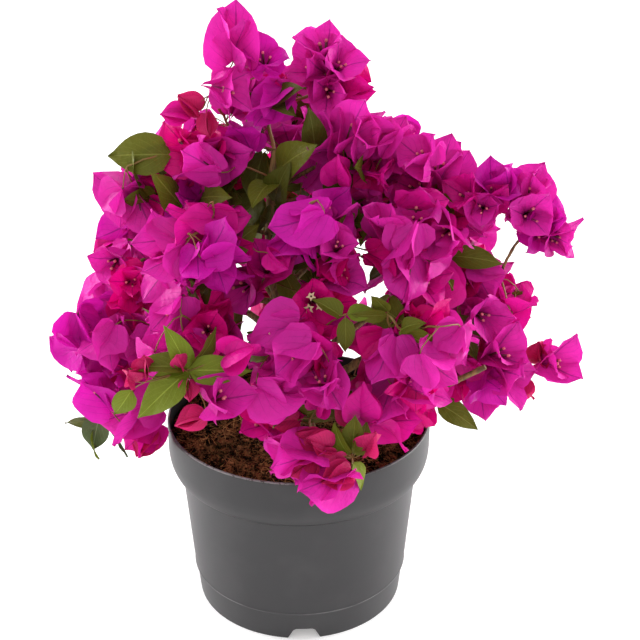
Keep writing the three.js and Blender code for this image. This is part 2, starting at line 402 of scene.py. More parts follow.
def smoothstep(t):
    t = np.clip(t, 0.0, 1.0)
    return t * t * (3 - 2 * t)


# ---- Pot -----------------------------------------------------------------------------------------

NOTCH = {"count": 3, "top": 13 * MM, "bottom": 22 * MM, "height": 8.2 * MM, "turn": math.radians(3)}
DRAIN = {"count": 8, "radius": 5 * MM, "circle": 48 * MM}
POT_FLOOR = 5 * MM
# Heights on the pot as shares of its own: the step at its foot and the start of its collar.
STEP_HEIGHT, COLLAR_HEIGHT = 0.1665, 0.734


def pot_profile(low, high, wall):
    """The pot's section as a closed run of (radius, height), from under the middle to inside it."""
    rim = max(high.x, high.y, -low.x, -low.y)
    top = high.z
    outer = [
        (0, low.z), (0.176 * rim, low.z), (0.2 * rim, low.z + POT_FLOOR), (0.754 * rim, low.z + POT_FLOOR),
        (0.754 * rim, low.z), (0.792 * rim, low.z), (0.818 * rim, 0.158 * top), (0.8335 * rim, 0.166 * top),
        (0.829 * rim, 0.176 * top), (0.905 * rim, COLLAR_HEIGHT * top), (0.936 * rim, 0.736 * top),
        (0.962 * rim, 0.752 * top), (0.987 * rim, 0.790 * top), (0.998 * rim, 0.836 * top),
        (rim, 0.992 * top),
        (rim - 0.5 * MM, top), (rim - wall, top),
    ]
    radii = [1, 1, 1, 0.8, 0.8, 0.8, 0.6, 0.4, 0.5, 0.6, 2.5, 5, 6, 1.2, 0.5]
    inner = [
        (rim - wall, 0.82 * top), (0.958 * rim - wall, 0.75 * top), (0.905 * rim - wall, 0.72 * top),
        (0.818 * rim - wall, 0.166 * top), (0.80 * rim - wall, low.z + POT_FLOOR + wall),
        (0, low.z + POT_FLOOR + wall),
    ]
    return rounded(outer, [r * MM for r in radii]) + inner


def notch_cutter():
    """The arched notches of the foot and the drain holes, as one mesh to take away."""
    bm = bmesh.new()
    verts = bmesh.ops.create_cube(bm, size=1.0)["verts"]
    for v in verts:
        width = NOTCH["bottom"] if v.co.z < 0 else NOTCH["top"]
        reach = 60 * MM if v.co.y > 0 else 76 * MM
        v.co = Vector((v.co.x * width, -reach, NOTCH["height"] if v.co.z > 0 else -1 * MM))
    upper = [e for e in bm.edges
             if all(v.co.z > MM for v in e.verts) and abs(e.verts[0].co.y - e.verts[1].co.y) > MM]
    bmesh.ops.bevel(bm, geom=upper, offset=2 * MM, offset_type="OFFSET", segments=3, profile=0.5,
                    affect="EDGES", material=-1)
    bmesh.ops.rotate(bm, verts=bm.verts, cent=(0, 0, 0), matrix=Matrix.Rotation(NOTCH["turn"], 3, "Z"))
    copy_round(bm, bm.verts[:] + bm.edges[:] + bm.faces[:], NOTCH["count"])
    place = Matrix.Translation((DRAIN["circle"], 0, POT_FLOOR))
    hole = bmesh.ops.create_cone(
        bm, cap_ends=True, segments=24, radius1=DRAIN["radius"], radius2=DRAIN["radius"],
        depth=12 * MM, matrix=place)["verts"]
    edges = {e for v in hole for e in v.link_edges}
    faces = {f for v in hole for f in v.link_faces}
    copy_round(bm, hole + list(edges) + list(faces), DRAIN["count"])
    bmesh.ops.recalc_face_normals(bm, faces=bm.faces)
    return object_from_bmesh("pot_cutter", bm)


def copy_round(bm, geom, count):
    """Repeats the geometry about Z until there are count of it."""
    bmesh.ops.spin(bm, geom=geom, cent=(0, 0, 0), axis=(0, 0, 1), dvec=(0, 0, 0), use_duplicate=True,
                   angle=2 * math.pi * (count - 1) / count, steps=count - 1, use_merge=False)


def pot_material(conf, top):
    """Moulded plastic with a patchy painted highlight at the lip and the foot's step, faint dust, dirt specks
    near the rim, and painted shade under the collar.
    """
    shader = Shader("pot_plastic")
    at = shader.place()
    height = shader.split(at)[2]
    grain = shader.noise(at, 900.0, 2.0)
    cloud = shader.noise(at, 28.0, 4.0)
    speck = shader.smooth(shader.noise(at, 420.0, 2.0, 0.7), 0.57, 0.62)
    near_rim = shader.smooth(height, top - 3 * MM, top - 0.5 * MM)
    # Painted highlight: the lip and the foot's step are painted pale, in patches, where the light catches
    # them.
    lip = shader.smooth(height, top - 1.0 * MM, top - 0.3 * MM)
    ledge = 1 - shader.smooth(abs(height - STEP_HEIGHT * top), 0.1 * MM, 0.7 * MM)
    highlight_patches = 0.25 + shader.smooth(cloud, 0.45, 0.62)
    painted_highlight = shader.node("ShaderNodeMath", {"operation": "MAXIMUM"},
                       {0: lip * highlight_patches * 0.9, 1: ledge * highlight_patches * 0.45})
    dusty = shader.smooth(cloud, 0.45, 0.75) * 0.05
    colour = shader.blend(painted_highlight + dusty, conf.colour[:], conf.dust_and_highlight_colour[:])
    colour = shader.blend(speck * near_rim * 0.8, colour, (0.02, 0.012, 0.008))
    # Painted shade: the rounded underside of the collar is painted nearly black, where it is shaded.
    above = shader.smooth(height, COLLAR_HEIGHT * top, 0.738 * top)
    under = above * (1 - shader.smooth(height, 0.75 * top, 0.80 * top))
    colour = shader.blend(under * 0.75, colour, (0.003, 0.003, 0.003))
    roughness = 0.40 + 0.12 * cloud
    normal = shader.bump(grain, 0.12, 0.05 * MM)
    return shader.finish(shader.surface(colour=colour, roughness=roughness, normal=normal, specular=0.45))


def make_pot():
    conf = settings().bush_pot
    low, high = (Vector(corner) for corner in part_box("pot"))
    bm = spun(pot_profile(low, high, conf.wall), conf.segments)
    pot = object_from_bmesh("nursery_pot", bm, pot_material(conf, high.z))
    cutter = notch_cutter()
    cut = pot.modifiers.new("notches", "BOOLEAN")
    cut.operation, cut.solver, cut.object = "DIFFERENCE", "EXACT", cutter
    bpy.context.view_layer.update()
    mesh = bpy.data.meshes.new_from_object(pot.evaluated_get(bpy.context.evaluated_depsgraph_get()))
    pot.modifiers.clear()
    pot.data = mesh
    bpy.data.objects.remove(cutter)
    mesh.polygons.foreach_set("use_smooth", np.full(len(mesh.polygons), True))
    mesh.set_sharp_from_angle(angle=math.radians(38))
    settle(pot, "pot", "pot")


# ---- Soil ----------------------------------------------------------------------------------------


def soil_height(x, y, conf, top, radius):
    """The height of the soil's surface, lower by the wall and lumpy all over."""
    place = Vector((x, y, 0.0))
    lumps = noise.fractal(place * 95, 1.0, 2.1, 4) * conf.roughness_height * 0.75
    swell = noise.noise(place * 28) * conf.roughness_height
    edge = smoothstep((math.hypot(x, y) / radius - 0.72) / 0.28)
    return top - 1.2 * MM - 3.0 * MM * edge + lumps * (1 - 0.5 * edge) + swell


def soil_material(conf):
    shader = Shader("potting_soil")
    at = shader.place()
    coarse = shader.noise(at, 160.0, 5.0, 0.65)
    fine = shader.noise(at, 750.0, 4.0, 0.7)
    moss = shader.smooth(shader.noise(at, 30.0, 3.0), 0.58, 0.68) * shader.smooth(fine, 0.45, 0.6)
    # The peat goes from dark to pale with nearly the noise of its bumps, so it is darker in the hollows and
    # paler on the lumps: partly the peat's own tone, partly painted shade and painted highlight.
    dark = tuple(0.06 * c for c in conf.colour)
    pale = tuple(min(1.0, 8.6 * c) for c in conf.colour)
    colour = shader.blend(shader.smooth(coarse * 0.55 + fine * 0.45, 0.44, 0.64), dark, pale)
    colour = shader.blend(moss * 0.45, colour, (0.045, 0.050, 0.010))
    normal = shader.bump(fine * 0.5 + coarse, 0.6, 1.2 * MM)
    return shader.finish(shader.surface(colour=colour, roughness=0.92, normal=normal, specular=0.05))


def fibre_material(conf):
    shader = Shader("coir_fibre")
    tone = shader.noise(shader.place(), 55.0, 2.0)
    dark = tuple(0.32 * c for c in conf.fibre_colour)
    colour = shader.blend(shader.smooth(tone, 0.35, 0.65), dark, conf.fibre_colour[:])
    return shader.finish(shader.surface(colour=colour, roughness=0.8, specular=0.1))


SOIL_SEED = 401


def make_soil():
    """The lumpy body of soil, then its crumbs and fibres, which share one run of random draws."""
    conf = settings().bush_soil
    low, high = (Vector(corner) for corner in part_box("potting_soil"))
    rim = high.x
    pot = Vector(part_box("pot")[1])
    rings = 64
    wall = settings().bush_pot.wall + 0.35 * MM
    profile = [(0, low.z)] + [
        (0.80 * pot.x - wall, low.z), (0.818 * pot.x - wall, 0.166 * pot.z),
        (0.905 * pot.x - wall, 0.72 * pot.z), (0.955 * pot.x - wall, 0.755 * pot.z), (rim, 0.83 * pot.z)]
    surface = [(rim * (1 - i / rings), high.z) for i in range(rings + 1)]
    bm = spun(profile + surface, 168)
    for v in bm.verts:
        if v.co.z > high.z - 0.5 * MM:
            v.co.z = soil_height(v.co.x, v.co.y, conf, high.z, rim)
    bmesh.ops.recalc_face_normals(bm, faces=bm.faces)
    material = soil_material(conf)
    settle(object_from_bmesh("potting_soil_body", bm, material, crease=60), "soil", "potting_soil")
    rng = np.random.RandomState(SOIL_SEED)
    settle(joined_object("soil_crumbs", soil_crumbs(conf, high.z, rim, rng), material), "soil")
    paths = soil_fibres(conf, high.z, rim, rng)
    settle(tubes_object("coir_fibres", paths, fibre_material(conf), sides=0), "soil")


def soil_crumbs(conf, top, rim, rng):
    """Loose crumbs of six shapes, as templates and where each lies."""
    lumps = []
    for k in range(6):
        bm = bmesh.new()
        bmesh.ops.create_icosphere(bm, subdivisions=1, radius=1.0)
        for v in bm.verts:
            swell = 1 + 0.45 * noise.noise(v.co * 1.7 + Vector((7 * k, 3, 1)))
            v.co = Vector((v.co.x * 1.25, v.co.y, v.co.z * 0.7)) * swell
        lumps.append(Template(bm))
    placed = []
    for _ in range(conf.crumbs):
        reach, angle = 0.975 * rim * math.sqrt(rng.rand()), rng.rand() * 2 * math.pi
        x, y = reach * math.cos(angle), reach * math.sin(angle)
        size = (0.5 + 2.0 * rng.rand() ** 2.5) * MM
        size = min(size, 0.98 * rim - reach)
        place = Vector((x, y, soil_height(x, y, conf, top, rim) + 0.2 * size))
        turn = Matrix.Rotation(rng.rand() * 6.3, 4, Vector(rng.randn(3)).normalized())
        placed.append((lumps[rng.randint(6)], Matrix.Translation(place) @ turn @ Matrix.Scale(size, 4)))
    return placed


def soil_fibres(conf, top, rim, rng):
    """Bent coir fibres that lie on the soil, as paths of (point, radius); the first thirty are long."""
    paths = []
    for k in range(conf.fibres):
        reach, angle = 0.95 * rim * math.sqrt(rng.rand()), rng.rand() * 2 * math.pi
        at = Vector((reach * math.cos(angle), reach * math.sin(angle), 0))
        heading, length = rng.rand() * 2 * math.pi, (5 + 16 * rng.rand() ** 2) * MM
        radius, bend = (0.10 + 0.16 * rng.rand()) * MM, rng.randn() * 0.35
        if k < 30:
            length, radius = 1.2 * length + 8 * MM, radius + 0.14 * MM
        path = []
        for i in range(8):
            heading += bend + 0.25 * rng.randn()
            at = at + Vector((math.cos(heading), math.sin(heading), 0)) * length / 7
            if at.length > 0.965 * rim:
                break
            lift = (0.5 + 0.9 * math.sin(math.pi * i / 7) * rng.rand()) * MM
            path.append((Vector((at.x, at.y, soil_height(at.x, at.y, conf, top, rim) + lift)), radius))
        if len(path) > 2:
            paths.append(path)
    return paths


# ---- Limbs ---------------------------------------------------------------------------------------


def mesh_arrays(node):
    """The points and triangles of a CAD node."""
    mesh = frame["nodes"][node].data
    points = np.zeros(len(mesh.vertices) * 3)
    mesh.vertices.foreach_get("co", points)
    mesh.calc_loop_triangles()
    triangles = np.zeros(len(mesh.loop_triangles) * 3, np.int32)
    mesh.loop_triangles.foreach_get("vertices", triangles)
    return points.reshape(-1, 3), triangles.reshape(-1, 3)


@lru_cache(maxsize=None)
def limb_route(node, cuts=14):
    """The middle line and radius of a limb, from its root to its tip, by slicing its CAD solid."""
    points, triangles = mesh_arrays(node)
    spread = points - points.mean(0)
    along = np.linalg.svd(spread, full_matrices=False)[2][0]
    reach = points @ along
    low, high = reach.min(), reach.max()
    route = []
    for share in np.linspace(0.025, 0.975, cuts):
        level = low + (high - low) * share
        middles, lengths = [], []
        for corner in points[triangles]:
            side = corner @ along - level
            if side.min() >= 0 or side.max() <= 0:
                continue
            edges = zip(corner, np.roll(corner, -1, 0), side, np.roll(side, -1))
            ends = [a + (b - a) * sa / (sa - sb) for a, b, sa, sb in edges if sa * sb < 0]
            if len(ends) == 2:
                middles.append((ends[0] + ends[1]) / 2)
                lengths.append(np.linalg.norm(ends[0] - ends[1]))
        if sum(lengths) > 0:
            middles, lengths = np.array(middles), np.array(lengths)
            middle = (middles * lengths[:, None]).sum(0) / lengths.sum()
            radius = (np.linalg.norm(middles - middle, axis=1) * lengths).sum() / lengths.sum()
            route.append((middle, radius))
    if node == "trunk":
        forward = route[0][0][2] < route[-1][0][2]
    else:
        trunk = np.array([p for p, _ in limb_route("trunk")])
        first, last = (np.linalg.norm(trunk - route[i][0], axis=1).min() for i in (0, -1))
        forward = first < last
    return route if forward else route[::-1]


def resampled(route, step):
    """A smooth run through the route with a point every step."""
    points = [Vector(p) for p, _ in route]
    radii = [r for _, r in route]
    out = []
    for i in range(len(points) - 1):
        before, start = points[max(i - 1, 0)], points[i]
        end, after = points[i + 1], points[min(i + 2, len(points) - 1)]
        count = max(1, round((end - start).length / step))
        for j in range(count):
            t = j / count
            place = 0.5 * (2 * start + (end - before) * t
                           + (2 * before - 5 * start + 4 * end - after) * t ** 2
                           + (3 * start - before - 3 * end + after) * t ** 3)
            out.append((place, radii[i] + (radii[i + 1] - radii[i]) * t))
    out.append((points[-1], radii[-1]))
    return out


def lengthened(route, node):
    """The route with its root run a little way into what carries it."""
    first, second = Vector(route[0][0]), Vector(route[1][0])
    back = (first - second).normalized() * (1.5 * MM if node == "trunk" else 3.5 * MM)
    return [(first + back, route[0][1])] + list(route)


def bark_material(conf):
    shader = Shader("bark")
    at = shader.place((1.0, 1.0, 0.22))
    ridges = shader.noise(at, 620.0, 4.0, 0.6)
    patches = shader.noise(shader.place(), 60.0, 3.0)
    colour = shader.blend(shader.smooth(ridges, 0.38, 0.62), conf.furrow_colour[:], conf.bark_colour[:])
    greener = tuple(c * f for c, f in zip(conf.bark_colour, (0.82, 1.15, 0.75)))
    colour = shader.blend(shader.smooth(patches, 0.5, 0.7) * 0.6, colour, greener)
    normal = shader.bump(ridges, 0.5, 0.4 * MM)
    return shader.finish(shader.surface(colour=colour, roughness=0.78, normal=normal))


def make_limbs():
    conf = settings().bush_limbs
    paths = [resampled(lengthened(limb_route(node), node), 1.6 * MM) for node in LIMB_NODES]
    for node, path in zip(LIMB_NODES, paths):
        for k, (place, radius) in enumerate(path):
            joint = math.exp(-(((k + hash_of(node)) % 11) - 5) ** 2 / 1.6)
            path[k] = (place, radius * (1 + 0.16 * joint))
    limbs = tubes_object("stems_with_bark", paths, bark_material(conf), sides=3)
    mesh = limbs.data
    for v in mesh.vertices:
        stretched = Vector((v.co.x, v.co.y, v.co.z * 0.35))
        ridge = noise.ridged_multi_fractal(stretched * 420, 0.9, 2.0, 3, 1.0, 1.8) - 1.0
        v.co += v.normal * conf.relief * 0.55 * max(-1.0, min(1.0, ridge))
    mesh.update()
    settle(limbs, "bark", *LIMB_NODES)


def hash_of(name):
    """A small number that is always the same for a name."""
    return sum(ord(c) * (i + 3) for i, c in enumerate(name)) % 97


# ---- Leaf and bract shapes -----------------------------------------------------------------------


def blade(rng, length, width, form, across=6, along=9):
    """One bract or leaf: its base at the origin, its midrib in the XZ plane, its inner side facing -X."""
    bm = bmesh.new()
    bm.loops.layers.uv.verify()
    bmesh.ops.create_grid(bm, x_segments=across, y_segments=along, size=1.0, calc_uvs=True)
    lean, bend = form["lean"], form["bend"]
    waves, phase = form["waves"], rng.rand() * 2 * math.pi
    skew = 0.12 * rng.randn()
    steps = 48
    arc = np.linspace(-0.3, 1.0, steps)
    angle = lean + bend * np.clip(arc, 0, 1) ** form.get("bend_from", 1.0)
    ds = (arc[1] - arc[0]) * length
    rx = np.concatenate([[0], np.cumsum(np.sin(angle[:-1]) * ds)])
    rz = np.concatenate([[0], np.cumsum(np.cos(angle[:-1]) * ds)])
    start = np.interp(0, arc, rx), np.interp(0, arc, rz)
    for v in bm.verts:
        u, t = v.co.x, (v.co.y + 1) / 2
        half = width * outline(t, form)
        s = t - form["lobe"] * math.sin(2.2 * abs(u)) * (1 - t) ** 4
        side = u * half + skew * width * t * t * 0.6
        x, z = np.interp(s, arc, rx) - start[0], np.interp(s, arc, rz) - start[1]
        tilt = np.interp(s, arc, angle)
        lift = form["fold"] * abs(u) * half * (1 - 0.45 * t)
        lift += form["cup"] * u * u * half * (1 - t)
        lift -= form["flare"] * u * u * half * t ** 1.5
        lift += form["ruffle"] * width * math.sin(2 * math.pi * waves * t + phase + 1.3 * u) * abs(u) ** 1.6
        lift += 0.05 * width * math.sin(3.1 * u + phase) * t
        crumple = noise.noise(Vector((1.5 * u + phase, 2.6 * t, phase * 3)))
        lift += form["crumple"] * width * crumple * min(1, 3 * t)
        v.co = Vector((x - math.cos(tilt) * lift, side, z + math.sin(tilt) * lift))
    bmesh.ops.remove_doubles(bm, verts=bm.verts, dist=0.05 * MM)
    return Template(bm)


def outline(t, form):
    """Half the width of a blade at a share of its length, from 0 to 1."""
    widest, foot = form["widest"], form["foot"]
    if t < widest:
        return foot + (1 - foot) * math.sqrt(max(0.0, 1 - (1 - t / widest) ** 2))
    rest = (t - widest) / (1 - widest)
    return max(0.0, 1 - rest ** form["point"]) * (1 - form["neck"] * smoothstep((rest - 0.55) / 0.4))


def bract_form(rng, opening):
    """The bend, fold and edge of a bract, for a flower that is open by 0 to 1."""
    if opening < 0.1:
        return {
            "lean": math.radians(13 + 3 * rng.randn()), "bend": math.radians(-30 + 6 * rng.randn()),
            "lobe": 0.12, "widest": 0.40, "foot": 0.55, "point": 2.2, "neck": 0.2,
            "fold": 0.34 + 0.08 * rng.randn(), "cup": 0.55 + 0.1 * rng.randn(), "flare": -0.30,
            "ruffle": 0.03, "waves": 1.2, "crumple": 0.10,
        }
    return {
        "lean": math.radians(4 + 24 * opening + 5 * rng.randn()),
        "bend": math.radians(6 + 46 * opening + 10 * rng.randn()),
        "bend_from": 1.2, "lobe": 0.17, "widest": 0.38, "foot": 0.66, "point": 2.3, "neck": 0.22,
        "fold": 0.10 + 0.08 * rng.randn() + 0.25 * (1 - opening),
        "cup": 0.36 + 0.10 * rng.randn() + 0.35 * (1 - opening),
        "flare": 0.36 * opening + 0.10 * rng.randn(),
        "ruffle": 0.08 + 0.09 * rng.rand(), "waves": 1.1 + 1.1 * rng.rand(),
        "crumple": 0.13 + 0.08 * rng.rand(),
    }


def leaf_form(rng):
    return {
        "lean": math.radians(4 + 8 * rng.randn()), "bend": math.radians(30 + 14 * rng.randn()),
        "lobe": 0.05, "widest": 0.34, "foot": 0.16, "point": 1.6, "neck": 0.26,
        "fold": 0.26 + 0.12 * rng.randn(), "cup": 0.02, "flare": 0.12 * rng.rand(),
        "ruffle": 0.05 + 0.03 * rng.rand(), "waves": 1.0 + rng.rand(), "crumple": 0.10,
    }


def flower_template(rng, length, opening):
    """Three bracts round one axis, which points up +Z from the flower's base."""
    parts = []
    for k in range(3):
        size = length * (1 + 0.09 * rng.randn())
        shape = blade(rng, size, size * (0.455 + 0.02 * rng.randn()), bract_form(rng, opening))
        roll = Matrix.Rotation(0.16 * rng.randn(), 4, "Z")
        turn = Matrix.Rotation(math.radians(120 * k + 9 * rng.randn()), 4, "Z")
        parts.append(shape.moved(turn @ Matrix.Translation((0.8 * MM, 0, 0)) @ roll))
    return Template.joined(parts)


def floret_templates(length):
    """A floret's tube and the round tip that closes it, both up +Z."""
    bm = bmesh.new()
    bmesh.ops.create_cone(bm, cap_ends=True, segments=6, radius1=0.55 * MM, radius2=0.9 * MM, depth=length)
    bmesh.ops.translate(bm, verts=bm.verts, vec=(0, 0, length / 2))
    tube = Template(bm)
    bm = bmesh.new()
    bmesh.ops.create_icosphere(bm, subdivisions=1, radius=1.1 * MM)
    bmesh.ops.scale(bm, verts=bm.verts, vec=(1, 1, 1.25))
    bmesh.ops.translate(bm, verts=bm.verts, vec=(0, 0, length + 0.6 * MM))
    return tube, Template(bm)


def star_template(length):
    """An open floret: a cream star of five pointed lobes on top of a tube."""
    bm = bmesh.new()
    bmesh.ops.create_circle(bm, cap_ends=True, segments=10, radius=1.0)
    for i, v in enumerate(sorted(bm.verts, key=lambda v: math.atan2(v.co.y, v.co.x))):
        reach = (3.6 if i % 2 else 1.7) * MM
        v.co = Vector((v.co.x * reach, v.co.y * reach, length + (0.9 * MM if i % 2 else 0.3 * MM)))
    bmesh.ops.poke(bm, faces=bm.faces, offset=-0.8 * MM, center_mode="MEAN")
    return Template(bm)


def dot_template(length):
    bm = bmesh.new()
    bmesh.ops.create_icosphere(bm, subdivisions=1, radius=0.75 * MM)
    bmesh.ops.translate(bm, verts=bm.verts, vec=(0, 0, length + 0.1 * MM))
    return Template(bm)


# ---- Crown plan ----------------------------------------------------------------------------------


def unit(v):
    return v / max(np.linalg.norm(v), 1e-9)


class Mass:
    """One foliage mass of the frame: its solid, middle and size."""

    def __init__(self, name):
        self.name = name
        self.points, self.triangles = mesh_arrays(name)
        low, high = (np.array(corner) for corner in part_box(name))
        self.middle = (low + high) / 2
        self.radius = float((high - low).mean() / 2)
        corners = self.points[self.triangles]
        cross = np.cross(corners[:, 1] - corners[:, 0], corners[:, 2] - corners[:, 0])
        self.areas = np.linalg.norm(cross, axis=1) / 2
        self.normals = cross / np.maximum(2 * self.areas[:, None], 1e-12)

    def samples(self, rng, count):
        """Points spread evenly over the surface, with outward directions that blend over the edges."""
        picks = rng.choice(len(self.areas), count, p=self.areas / self.areas.sum())
        a, b = rng.rand(count), rng.rand(count)
        flip = a + b > 1
        a[flip], b[flip] = 1 - a[flip], 1 - b[flip]
        corners = self.points[self.triangles[picks]]
        one, two = corners[:, 1] - corners[:, 0], corners[:, 2] - corners[:, 0]
        at = corners[:, 0] + a[:, None] * one + b[:, None] * two
        out = at - self.middle
        out = out / np.linalg.norm(out, axis=1)[:, None]
        return at, self.normals[picks], out


class Sprig:
    """A fork, flower or leaf to be carried: its kind, its base and the way it points."""

    def __init__(self, kind, base, axis, size=1.0, opening=1.0, fork=None, tint=None):
        self.kind, self.base, self.axis = kind, np.array(base), unit(np.array(axis, float))
        self.size, self.opening, self.fork, self.tint, self.roll = size, opening, fork, tint, 0.0
        self.face = UP * 0.55 + unit(self.base * (1, 1, 0)) * 0.85 if kind in LEAFY else None

    def heart(self):
        """The middle of the room that the flower or leaf takes up."""
        return self.base + self.axis * 15 * MM * self.size

    def matrix(self):
        return frame_of(self.axis, self.roll, self.size, self.base, self.face)

    def cloud(self):
        """A few points over its bracts or its blade."""
        matrix = np.array(self.matrix())
        return cloud_template(self.kind in LEAFY, round(self.opening, 1)) @ matrix[:3, :3].T + matrix[:3, 3]


@lru_cache(maxsize=None)
def cloud_template(leafy, opening):
    """A few points over the three bracts of a flower, or over a leaf, with the base at the origin."""
    conf = settings().bush_crown
    length = conf.leaf_length if leafy else conf.bract_length
    half = length * (0.33 if leafy else 0.45)
    lean, bend = 0.07, 0.5
    if not leafy:
        lean, bend = math.radians(4 + 24 * opening), math.radians(6 + 46 * opening)
    points = []
    for k in range(1 if leafy else 3):
        cos, sin = math.cos(2 * math.pi * k / 3), math.sin(2 * math.pi * k / 3)
        for share, side in ((0.3, -0.6), (0.3, 0.6), (0.62, -0.75), (0.62, 0.0), (0.62, 0.75), (0.95, 0.0)):
            tilt = lean + 0.5 * bend * share
            x, y, z = length * share * math.sin(tilt), side * half, length * share * math.cos(tilt)
            points.append((x * cos - y * sin, x * sin + y * cos, z))
    return np.array(points)


class Room:
    """The room that is taken up, so that each flower and leaf can turn to where it cuts the others least."""

    def __init__(self, least):
        self.least = least
        self.hearts, self.clouds = np.zeros((0, 3)), []
        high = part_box("pot")[1]
        self.pot_radius, self.pot_top = high.x + 3 * MM, high.z + 2 * MM

    def crowding(self, cloud, others):
        in_pot = (np.hypot(cloud[:, 0], cloud[:, 1]) < self.pot_radius) & (cloud[:, 2] < self.pot_top)
        cost = 4.0 * in_pot.sum() + 2.0 * in_sky(cloud).sum()
        if len(others):
            gaps = np.linalg.norm(cloud[:, None] - others[None], axis=2).min(1)
            cost += (np.maximum(0, 1 - gaps / self.least) ** 2).sum()
        return cost

    def fit(self, sprig, rng, reach=0.0, swing=0.0, tries=26, bear=None):
        """Turns the sprig about the point at reach along its axis; False if it cuts more than it may."""
        first, anchor = sprig.axis, sprig.base + reach * sprig.axis
        near = np.flatnonzero(np.linalg.norm(self.hearts - sprig.heart(), axis=1) < NEIGHBOUR_REACH)
        others = np.concatenate([self.clouds[i] for i in near]) if len(near) else np.zeros((0, 3))
        best = None
        for k in range(tries):
            sprig.axis = unit(first + swing * rng.randn(3)) if k else first
            sprig.base = anchor - reach * sprig.axis
            sprig.roll = 0.45 * rng.randn() if sprig.kind in LEAFY else rng.rand() * 2 * math.pi
            cost = self.crowding(sprig.cloud(), others) + 0.8 * (1 - first @ sprig.axis)
            if best is None or cost < best[0]:
                best = cost, sprig.axis, sprig.base, sprig.roll
        cost, sprig.axis, sprig.base, sprig.roll = best
        if bear is not None and cost > bear:
            return False
        self.hearts = np.vstack([self.hearts, sprig.heart()])
        self.clouds.append(sprig.cloud())
        return True


class Spacer:
    """Hands out places that keep a least distance from each other."""

    def __init__(self, least, taken=()):
        self.least = least
        self.taken = np.array(list(taken)).reshape(-1, 3)

    def take(self, place, least=None):
        least = self.least if least is None else least
        if len(self.taken) and np.linalg.norm(self.taken - place, axis=1).min() < least:
            return False
        self.taken = np.vstack([self.taken, place])
        return True


def threes(points, reach):
    """The indices of the points, gathered by up to three near neighbours."""
    left, groups = list(range(len(points))), []
    while left:
        first = left.pop(0)
        gap = {j: np.linalg.norm(points[j] - points[first]) for j in left}
        near = [j for j in sorted(left, key=gap.get)[:2] if gap[j] < reach]
        left = [j for j in left if j not in near]
        groups.append([first] + near)
    return groups


# The room that one point of a blade asks for, how far neighbours are looked for, and the gaps that the
# leaves of the outside and the flowers of the inside keep.
BLADE_ROOM, NEIGHBOUR_REACH = 7.5 * MM, 46 * MM
LEAF_SPACING, SHADE_SPACING = 58 * MM, 16 * MM
# The middle that the crown grows away from, the places tried on each mass, how near another mass
# covers a place, the size of a small mass and how far apart the flowers of one spray stand.
CROWN_MIDDLE = np.array([0.01, 0.0, 0.22])
PLACES_TRIED, COVER_REACH, SMALL_MASS, SPRAY_REACH = 420, 12 * MM, 26 * MM, 36 * MM
